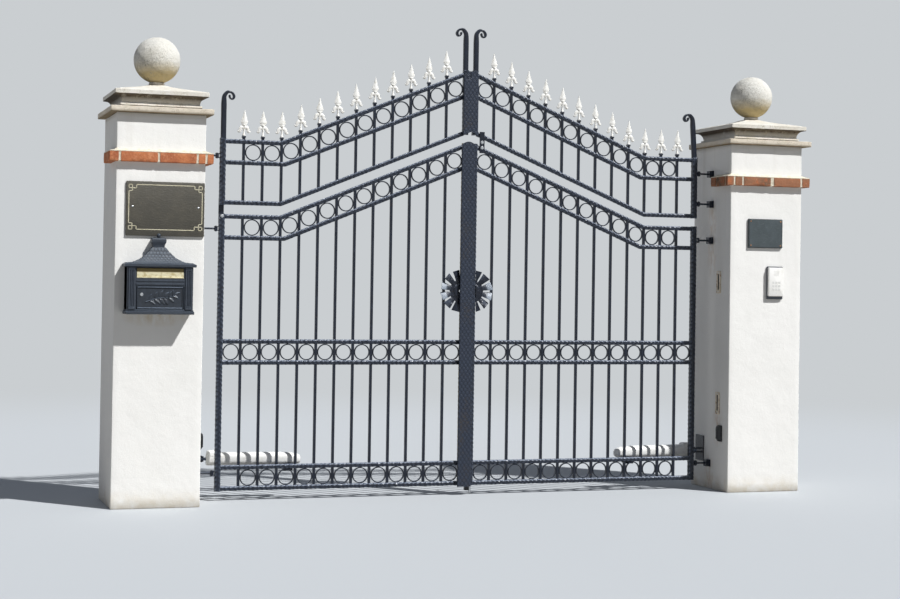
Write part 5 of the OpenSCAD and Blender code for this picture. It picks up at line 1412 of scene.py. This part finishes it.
class GATE_OT_cover_strips(bpy.types.Operator):
    """The pressed strip over the meeting stiles, in two lengths, with its curl and packing"""
    bl_idname = "gate.cover_strips"
    bl_label = "Cover strips"

    def execute(self, context):
        s = context.scene.gate_sizes
        for name, upper in (("cover_strip_lower", False), ("cover_strip_upper", True)):
            lo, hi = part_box(name)
            nx, nz = round((hi.x - lo.x) / 0.0024), round((hi.z - lo.z) / 0.0028)
            u, t = np.linspace(0, 1, nx + 1), np.linspace(0, 1, nz + 1)
            low, high = self.ends(lo, hi, u, upper)
            x = np.tile(lo.x + (hi.x - lo.x) * u, (nz + 1, 1))
            z = low + (high - low) * t[:, None]
            h = scales(x - lo.x - 0.006, z, s.scale_row, s.scale_wide)
            if upper:
                h = self.curl(h, x, z, lo, hi)
            border = np.minimum(np.minimum(x - lo.x, hi.x - x) / 0.004, 1)
            y = lo.y + 0.0032 - 0.0030 * np.clip(h, 0, 1.05) * border
            front = np.stack([x, y, z], -1).reshape(-1, 3)
            w = nx + 1
            faces = [(i, i + 1, i + w + 1, i + w) for r in range(nz) for i in range(r * w, r * w + nx)]
            rim = (list(range(w)) + [r * w + nx for r in range(1, nz + 1)]
                   + [nz * w + c for c in range(nx - 1, -1, -1)] + [r * w for r in range(nz - 1, 0, -1)])
            rear = front[rim] * (1, 0, 1) + (0, lo.y + 0.006, 0)
            m = len(front)
            faces += [(a, m + i, m + (i + 1) % len(rim), b)
                      for i, (a, b) in enumerate(zip(rim, rim[1:] + rim[:1]))]
            faces.append(tuple(m + i for i in range(len(rim) - 1, -1, -1)))
            # The scales' raised tops are kept as tone, which the paint turns into painted highlights
            tone = np.concatenate([np.clip(h.reshape(-1) * 1.5 - 0.7, 0, 1), np.zeros(len(rear))])
            form = Form().add((np.concatenate([front, rear]), faces), 0, tone)
            feet = [lo.z + 0.067, hi.z - 0.110] if upper else np.arange(lo.z + 0.060, hi.z - 0.12, 0.42)
            for z0 in feet:
                form.add(block((LEFT_LEAF_X + LEAF_W - 0.032, lo.y + 0.005, z0),
                               (LEFT_LEAF_X + LEAF_W - 0.004, hi.y + 0.0005, z0 + 0.06), 0.001))
            form.piece("pressed_" + name, "left_leaf", "strip", replaces=[name], slot="black_iron", sharp=70)
        return {"FINISHED"}

    def ends(self, lo, hi, u, upper):
        """The outline of the strip's foot and head across its width."""
        x = lo.x + (hi.x - lo.x) * u
        if not upper:
            return np.full_like(u, lo.z), hi.z - 0.021 * (2 * u - 1) ** 2
        apex, r = LEFT_LEAF_X + LEAF_W + 0.014, 0.040
        slope = math.tan(bpy.context.scene.gate_sizes.rise)
        foot = lo.z + (apex - lo.x) * slope - np.abs(x - apex) * slope
        inset = np.clip(np.maximum(lo.x + r - x, x - hi.x + r), 0, r)
        return np.maximum(foot, lo.z), hi.z - (r - np.sqrt(np.maximum(r * r - inset * inset, 0)))

    def curl(self, h, x, z, lo, hi):
        """A raised spiral near the head of the upper strip."""
        cx, cz = lo.x + 0.034, hi.z - 0.034
        d, a = np.hypot(x - cx, z - cz), np.arctan2(z - cz, x - cx)
        turns = (d / 0.0080 - a / (2 * math.pi)) % 1
        return np.where(d < 0.021, 0.15 + 0.9 * np.exp(-((turns - 0.5) / 0.22) ** 2), h)


class GATE_OT_rosettes(bpy.types.Operator):
    """The half rosettes over the lock, with twisted tabs"""
    bl_idname = "gate.rosettes"
    bl_label = "Rosettes"

    def execute(self, context):
        s = context.scene.gate_sizes
        edge = LEAF_W - s.stile
        # The right rosette's middle lies behind the cover strip, and it is cut at the stile's edge
        for side, past in (("left", 0.0), ("right", 0.022)):
            form, centre = Form(), np.array([edge + past, 0, s.rose_z])
            # The two middle tabs carry painted highlights at their ends
            parts = [(self.plate(centre), 0)]
            for i in range(6):
                tab = self.tab(math.pi / 2 + (i + 0.5) * math.pi / 6, centre, s.rose)
                parts.append((tab, int(i in (2, 3))))
            for shell, slot in parts:
                shell = cut_off(outward(shell), edge) if past else outward(shell)
                far = np.linalg.norm(np.asarray(shell[0])[:, ::2] - centre[::2], axis=1)
                form.add(on_leaf(shell, side), slot, slot * np.clip((far - 0.093) / 0.012, 0, 1))
            form.piece(side + "_twisted_rosette", side + "_leaf", "iron worn_iron",
                       replaces=[side + "_rosette"], slot="black_iron", sharp=40)
        return {"FINISHED"}

    def plate(self, centre):
        """A hammered half disc with a raised middle."""
        rings, a = [], np.linspace(math.pi / 2, 3 * math.pi / 2, 41)
        for rho, y in mm([(12, -16.5), (20, -18.5), (34, -19.5), (44, -18.5), (47, -15), (58, -14.5),
                          (69, -15), (72.5, -12.5), (72.5, -8.5), (12, -8.5)]):
            bump = 0.0011 * np.cos(a * 24 + rho * 300) * (y < -0.013)
            rings.append(centre + np.stack([rho * np.cos(a), y + bump, rho * np.sin(a)], 1))
        return loft(np.array(rings).transpose(1, 0, 2))

    def tab(self, a, centre, r):
        """A blade that widens outwards to a square end and twists more towards it."""
        out, side = np.array([math.cos(a), 0, math.sin(a)]), np.array([-math.sin(a), 0, math.cos(a)])
        face = np.array([0, -1.0, 0])
        section = [(1, -0.5), (1, 0.5), (0.85, 1), (-0.85, 1), (-1, 0.5), (-1, -0.5), (-0.85, -1), (0.85, -1)]
        rings, root = [], r * 0.5
        for t in np.linspace(0, 1, 14):
            rho = root + (r - root - 0.001) * t
            twist = math.radians(22) * min(1, t * 1.8) ** 1.2
            wide = rho * math.tan(math.radians(11.8)) * (1 if t < 0.95 else 0.96)
            y = -0.0135 - 0.004 * min(1, t * 1.6)
            u = side * math.cos(twist) + face * math.sin(twist)
            v = face * math.cos(twist) - side * math.sin(twist)
            rings.append([centre + out * rho + (0, y, 0) + u * wide * p + v * 0.0025 * q for p, q in section])
        return loft(rings)


class GATE_OT_hinges(bpy.types.Operator):
    """Paint and bolts for the hinges, ties and brackets"""
    bl_idname = "gate.hinges"
    bl_label = "Hinges and ties"

    def execute(self, context):
        for node in ("left_hinge_brackets", "right_hinge_brackets", "left_ram_bracket", "right_ram_bracket",
                     "left_hinge_lugs", "right_hinge_lugs", "left_fixings", "right_fixings"):
            mesh = frame["nodes"][node].data
            mesh.materials.clear()
            mesh.materials.append(material("plain_iron"))
        k, s = Layout(), context.scene.gate_sizes
        head = mm([(6, 0), (6.8, -1), (6.8, -4.8), (5.8, -5.8)])
        washer = mm([(9.8, 1.2), (10.2, 0.4), (10.2, -0.6), (9.4, -1.2)])
        bolt = Form().add(turned(head, (0, 0, 0), "Y", 6)).add(turned(washer, (0, 0, 0), "Y", 20))
        x = LEAF_W - s.stile - 0.027
        low = s.leaf_top + k.rise(x)
        for side, spots in (("left", [(s.stile / 2, -s.stile / 2, k.gate_top - 0.014)]),
                            ("right", [(x, -0.020, low + 0.010), (x, -0.020, low + 0.044)])):
            copies(side + "_tie_bolts", bolt, "zinc", placed(spots, side), side + "_leaf", "bare_steel")
        # A bright lock nut where the right leaf's third hinge from the top enters its stile
        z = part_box("right_hinge_lugs")[1].z - 0.456
        nut = turned(mm([(11.5, 0.4), (12.8, 1.4), (12.8, 6), (11.5, 7)]), (RIGHT_LEAF_X, 0, z), "X", 6)
        Form().add(nut).piece("right_hinge_nut", "right_leaf", "zinc", slot="bare_steel")
        return {"FINISHED"}


class GATE_OT_drop_bolt(bpy.types.Operator):
    """The drop bolt at the foot of the right meeting stile"""
    bl_idname = "gate.drop_bolt"
    bl_label = "Drop bolt"

    def execute(self, context):
        lo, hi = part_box("drop_stop")
        x0, x1, y0, y1 = lo.x, hi.x, lo.y, lo.y + 0.030
        bolt_x, bolt_y, r = x1 - 0.0115, y0 + 0.015, 0.008
        case = Form().add(block((x0, y0, 0.024), (bolt_x - r - 0.001, y1, 0.128), 0.003))
        for z, h in ((0.062, 0.020), (0.108, 0.020), (hi.z - 0.050, 0.020)):
            case.add(block((x0, y0, z), (x1, y1, z + h), 0.002))
        case.piece("drop_bolt_case", "right_leaf", "dark_plastic", replaces=["drop_stop"], slot="black_iron")
        rod = Form().add(pin((bolt_x, bolt_y, 0), r, lo.z, hi.z, "Z", 24, 0.002))
        rod.add(pin((bolt_x, 0, hi.z - 0.008), 0.006, bolt_y, hi.y, "Y", 18, 0.0015))
        rod.piece("drop_bolt_rod", "right_leaf", "zinc", slot="bare_steel")
        return {"FINISHED"}


class GATE_OT_openers(bpy.types.Operator):
    """The two electric openers with their carriages"""
    bl_idname = "gate.openers"
    bl_label = "Openers"
    # The pivot on the post from the leaf's edge: towards the post, into the drive and above the
    # ground; and the pin on the closed leaf from the pivot, along the leaf and towards it
    pivot = (0.062, 0.110, 0.243)
    reach = (0.516, -0.046)
    # How far the housing goes along the leaf, and how far its rounded end goes past that
    along, past = 0.591, 0.012
    # The housing's foot and nose: place from its pivot or its end, scale and drop of the oval there
    foot = [(0.030, 0.80, 0.0), (0.034, 0.96, 0.0), (0.040, 1.0, 0.0)]
    nose = [(0.150, 1.0, 0.0), (0.100, 0.985, -0.0004), (0.070, 0.955, -0.001), (0.040, 0.88, -0.002),
            (0.020, 0.77, -0.003), (0.007, 0.62, -0.004), (0.001, 0.45, -0.005), (0.0, 0.2, -0.005)]

    def execute(self, context):
        angle, span = math.atan2(self.reach[1], self.reach[0]), math.hypot(*self.reach)
        end = span * self.along / self.reach[0] + self.past
        profile = self.foot + [(end - back, scale, drop) for back, scale, drop in self.nose]
        for side, hinge, s in (("left", LEFT_LEAF_X, 1), ("right", RIGHT_LEAF_X, -1)):
            pivot = Vector((hinge - s * self.pivot[0], *self.pivot[1:]))
            turn = Matrix.Translation(pivot) @ Matrix.Scale(s, 4, (1, 0, 0)) @ Matrix.Rotation(angle, 4, "Z")
            white, grey = Form(), Form()
            white.add(self.hull(profile))
            white.add(self.hood())
            for x in (0.20, 0.33, 0.46):
                white.add(pin((x, 0, 0), 0.0035, -0.0330, -0.0325, "Y", 12, 0.0002))
            grey.add(block((-0.014, -0.012, -0.008), (0.034, 0.012, 0.008), 0.001))
            grey.add(self.eye())
            for form, part, coat, slot, replaced in (
                    (white, "body", "white_coat", "white_paint", [side + "_ram"]),
                    (grey, "pivot_eye", "grey_coat", "bare_steel", [])):
                points = np.array([turn @ Vector(p) for p in np.concatenate(form.points)])
                shell = (points, form.faces) if s > 0 else turned_over((points, form.faces))
                Form().add(shell).piece(f"{side}_opener_{part}", side + "_opener", coat,
                                        replaces=replaced, slot=slot)
            mesh = frame["nodes"][side + "_ram_carriage"].data
            mesh.materials.clear()
            mesh.materials.append(material("zinc"))
        return {"FINISHED"}

    def hull(self, profile):
        """An upright oval housing along X from (place, scale, drop) steps."""
        rings, r, tall = [], 0.033, 0.007
        turns = np.linspace(0, 2 * math.pi, 41)[:-1]
        for x, scale, drop in profile:
            rings.append([(x, r * scale * math.cos(a),
                           (r * math.sin(a) + (tall if math.sin(a) > 0 else -tall)) * scale + drop)
                          for a in turns])
        return loft(rings)

    def hood(self):
        """The motor's rounded hood on top of the housing."""
        rings = []
        for z, inset in [(0.019, 0.002), (0.021, 0.0), (0.036, 0.0), (0.044, 0.002), (0.049, 0.006),
                         (0.0515, 0.012), (0.052, 0.018)]:
            a, b = 0.033 + inset, 0.104 - inset
            c, r = 0.0335 - inset * 0.8, max(0.003, 0.014 - inset * 0.5)
            corners = [(b - r, c - r), (a + r, c - r), (a + r, r - c), (b - r, r - c)]
            rings.append([(cx + r * math.cos(q), cy + r * math.sin(q), z)
                          for quarter, (cx, cy) in enumerate(corners)
                          for q in np.linspace(quarter, quarter + 1, 6) * math.pi / 2])
        return outward(loft(rings))

    def eye(self):
        """The flat ring that turns on the bracket's pin."""
        a = np.arange(28) * math.pi / 14
        section = mm([(6.3, -8), (15.5, -8), (16, -7), (16, 7), (15.5, 8), (6.3, 8)])
        return loft([np.stack([r * np.cos(a), r * np.sin(a), np.full(28, z)], 1) for r, z in section],
                    closed=True)


# Studio

class GATE_OT_studio(bpy.types.Operator):
    """Floor, world, lamps and camera"""
    bl_idname = "gate.studio"
    bl_label = "Studio"

    def execute(self, context):
        scene = context.scene
        scene.view_settings.view_transform = "Standard"
        pale = chosen("floor")
        self.floor(pale)
        self.world(pale)
        # The side that each lamp stands on, its strength and how many degrees across it is
        for name, direction, energy, angle in [("key", (0.42, -0.50, 0.755), 4.5, 1.5),
                                               ("fill", (-0.7, 0.6, 0.4), 0.12, 40)]:
            lamp = bpy.data.lights.new(name, "SUN")
            lamp.energy, lamp.angle = energy, math.radians(angle)
            obj = bpy.data.objects.new(name, lamp)
            obj.rotation_euler = Vector(direction).to_track_quat("Z", "Y").to_euler()
            scene.collection.objects.link(obj)
        self.camera(scene)
        return {"FINISHED"}

    def floor(self, pale):
        """A plain floor that keeps the object's shadow and fades into the background."""
        mesh = bpy.data.meshes.new("floor")
        mesh.from_pydata([(-60, -60, 0), (64, -60, 0), (64, 60, 0), (-60, 60, 0)], [], [(0, 1, 2, 3)])
        # A plain matt studio floor, as dark as paving to the light that it throws back at the object,
        # or the shade would be too pale
        coat = Coat("studio_floor", 0.9)
        # It fades out round the gate's middle, towards a ring 13 m away
        tree, middle, ring = coat.tree, (2.0, 0.0, 0.0), 13.0
        paths = add(tree, "ShaderNodeLightPath").outputs
        lit = [c * 0.86 for c in pale[:3]] + [1]
        shade = add(tree, "ShaderNodeMix", {0: paths["Is Diffuse Ray"], 6: lit, 7: linear("A09E9A")},
                    data_type="RGBA")
        tree.links.new(shade.outputs[2], coat.shader.inputs["Base Color"])
        blend = add(tree, "ShaderNodeMapRange", {0: coat.near(middle, ring), 1: 0.65, 2: 0.15},
                    interpolation_type="SMOOTHSTEP")
        mask = add(tree, "ShaderNodeMath", {0: blend, 1: paths["Is Camera Ray"]}, operation="MULTIPLY")
        glow = add(tree, "ShaderNodeEmission", {"Color": pale, "Strength": 1.0})
        mixed = add(tree, "ShaderNodeMixShader", {0: mask, 1: coat.shader, 2: glow})
        tree.links.new(mixed.outputs[0], tree.nodes["Material Output"].inputs[0])
        mesh.materials.append(coat.made)
        obj = bpy.data.objects.new("floor", mesh)
        bpy.context.scene.collection.objects.link(obj)
        return obj

    def world(self, pale):
        """A faint sky for the object and the floor's own colour for what sees the background."""
        world = bpy.data.worlds.new("studio")
        bpy.context.scene.world = world
        world.use_nodes = True
        tree = world.node_tree
        paths = add(tree, "ShaderNodeLightPath").outputs
        seen = paths["Is Camera Ray"]
        for ray in ("Is Glossy Ray", "Is Transmission Ray"):
            seen = add(tree, "ShaderNodeMath", {0: seen, 1: paths[ray]}, operation="MAXIMUM")
        shown = add(tree, "ShaderNodeBackground", {"Color": pale, "Strength": 1.0})
        light = add(tree, "ShaderNodeBackground", {"Color": linear("CBD9F4"), "Strength": 0.17})
        mixed = add(tree, "ShaderNodeMixShader", {0: seen, 1: light, 2: shown})
        tree.links.new(mixed.outputs[0], tree.nodes["World Output"].inputs[0])

    def camera(self, scene):
        """The camera where the photograph was taken from, for a frame of 900 by 599."""
        data = bpy.data.cameras.new("camera")
        data.sensor_width, data.lens, data.shift_y = 36.0, 69.25, -0.0486
        data.clip_end = 200
        place, yaw, pitch, roll = (-1.6217, -10.2987, 1.3272), 0.3263, 0.0159, 0.0150
        ahead = Vector((math.sin(yaw) * math.cos(pitch), math.cos(yaw) * math.cos(pitch), math.sin(pitch)))
        right = Vector((math.cos(yaw), -math.sin(yaw), 0))
        up = right.cross(ahead)
        across = right * math.cos(roll) + up * math.sin(roll)
        above = up * math.cos(roll) - right * math.sin(roll)
        obj = bpy.data.objects.new("camera", data)
        basis = Matrix((across, above, -ahead)).transposed().to_4x4()
        obj.matrix_world = Matrix.Translation(place) @ basis
        scene.collection.objects.link(obj)
        scene.camera = obj


OPERATORS = (GATE_OT_posts, GATE_OT_caps, GATE_OT_brick_bands, GATE_OT_plates, GATE_OT_letterbox,
             GATE_OT_door_station, GATE_OT_frames, GATE_OT_bars, GATE_OT_rings, GATE_OT_scroll_stiles,
             GATE_OT_finials, GATE_OT_cover_strips, GATE_OT_rosettes, GATE_OT_hinges, GATE_OT_drop_bolt,
             GATE_OT_openers, GATE_OT_studio)


class GATE_PT_panel(bpy.types.Panel):
    """Sizes, colours and pieces of the gate"""
    bl_idname = "GATE_PT_panel"
    bl_label = "Driveway gate"
    bl_space_type = "VIEW_3D"
    bl_region_type = "UI"
    bl_category = "Gate"

    def draw(self, context):
        for operator in OPERATORS:
            self.layout.operator(operator.bl_idname)
        for group in (context.scene.gate_sizes, context.scene.gate_colours):
            for name in group.__annotations__:
                self.layout.prop(group, name)


CLASSES = (GateSizes, GateColours) + OPERATORS + (GATE_PT_panel,)


def register():
    for c in CLASSES:
        bpy.utils.register_class(c)
    bpy.types.Scene.gate_sizes = bpy.props.PointerProperty(type=GateSizes)
    bpy.types.Scene.gate_colours = bpy.props.PointerProperty(type=GateColours)


def unregister():
    del bpy.types.Scene.gate_colours
    del bpy.types.Scene.gate_sizes
    for c in reversed(CLASSES):
        bpy.utils.unregister_class(c)


def main():
    register()
    for operator in OPERATORS:
        group, name = operator.bl_idname.split(".")
        getattr(getattr(bpy.ops, group), name)()


if __name__ == "__main__":
    main()
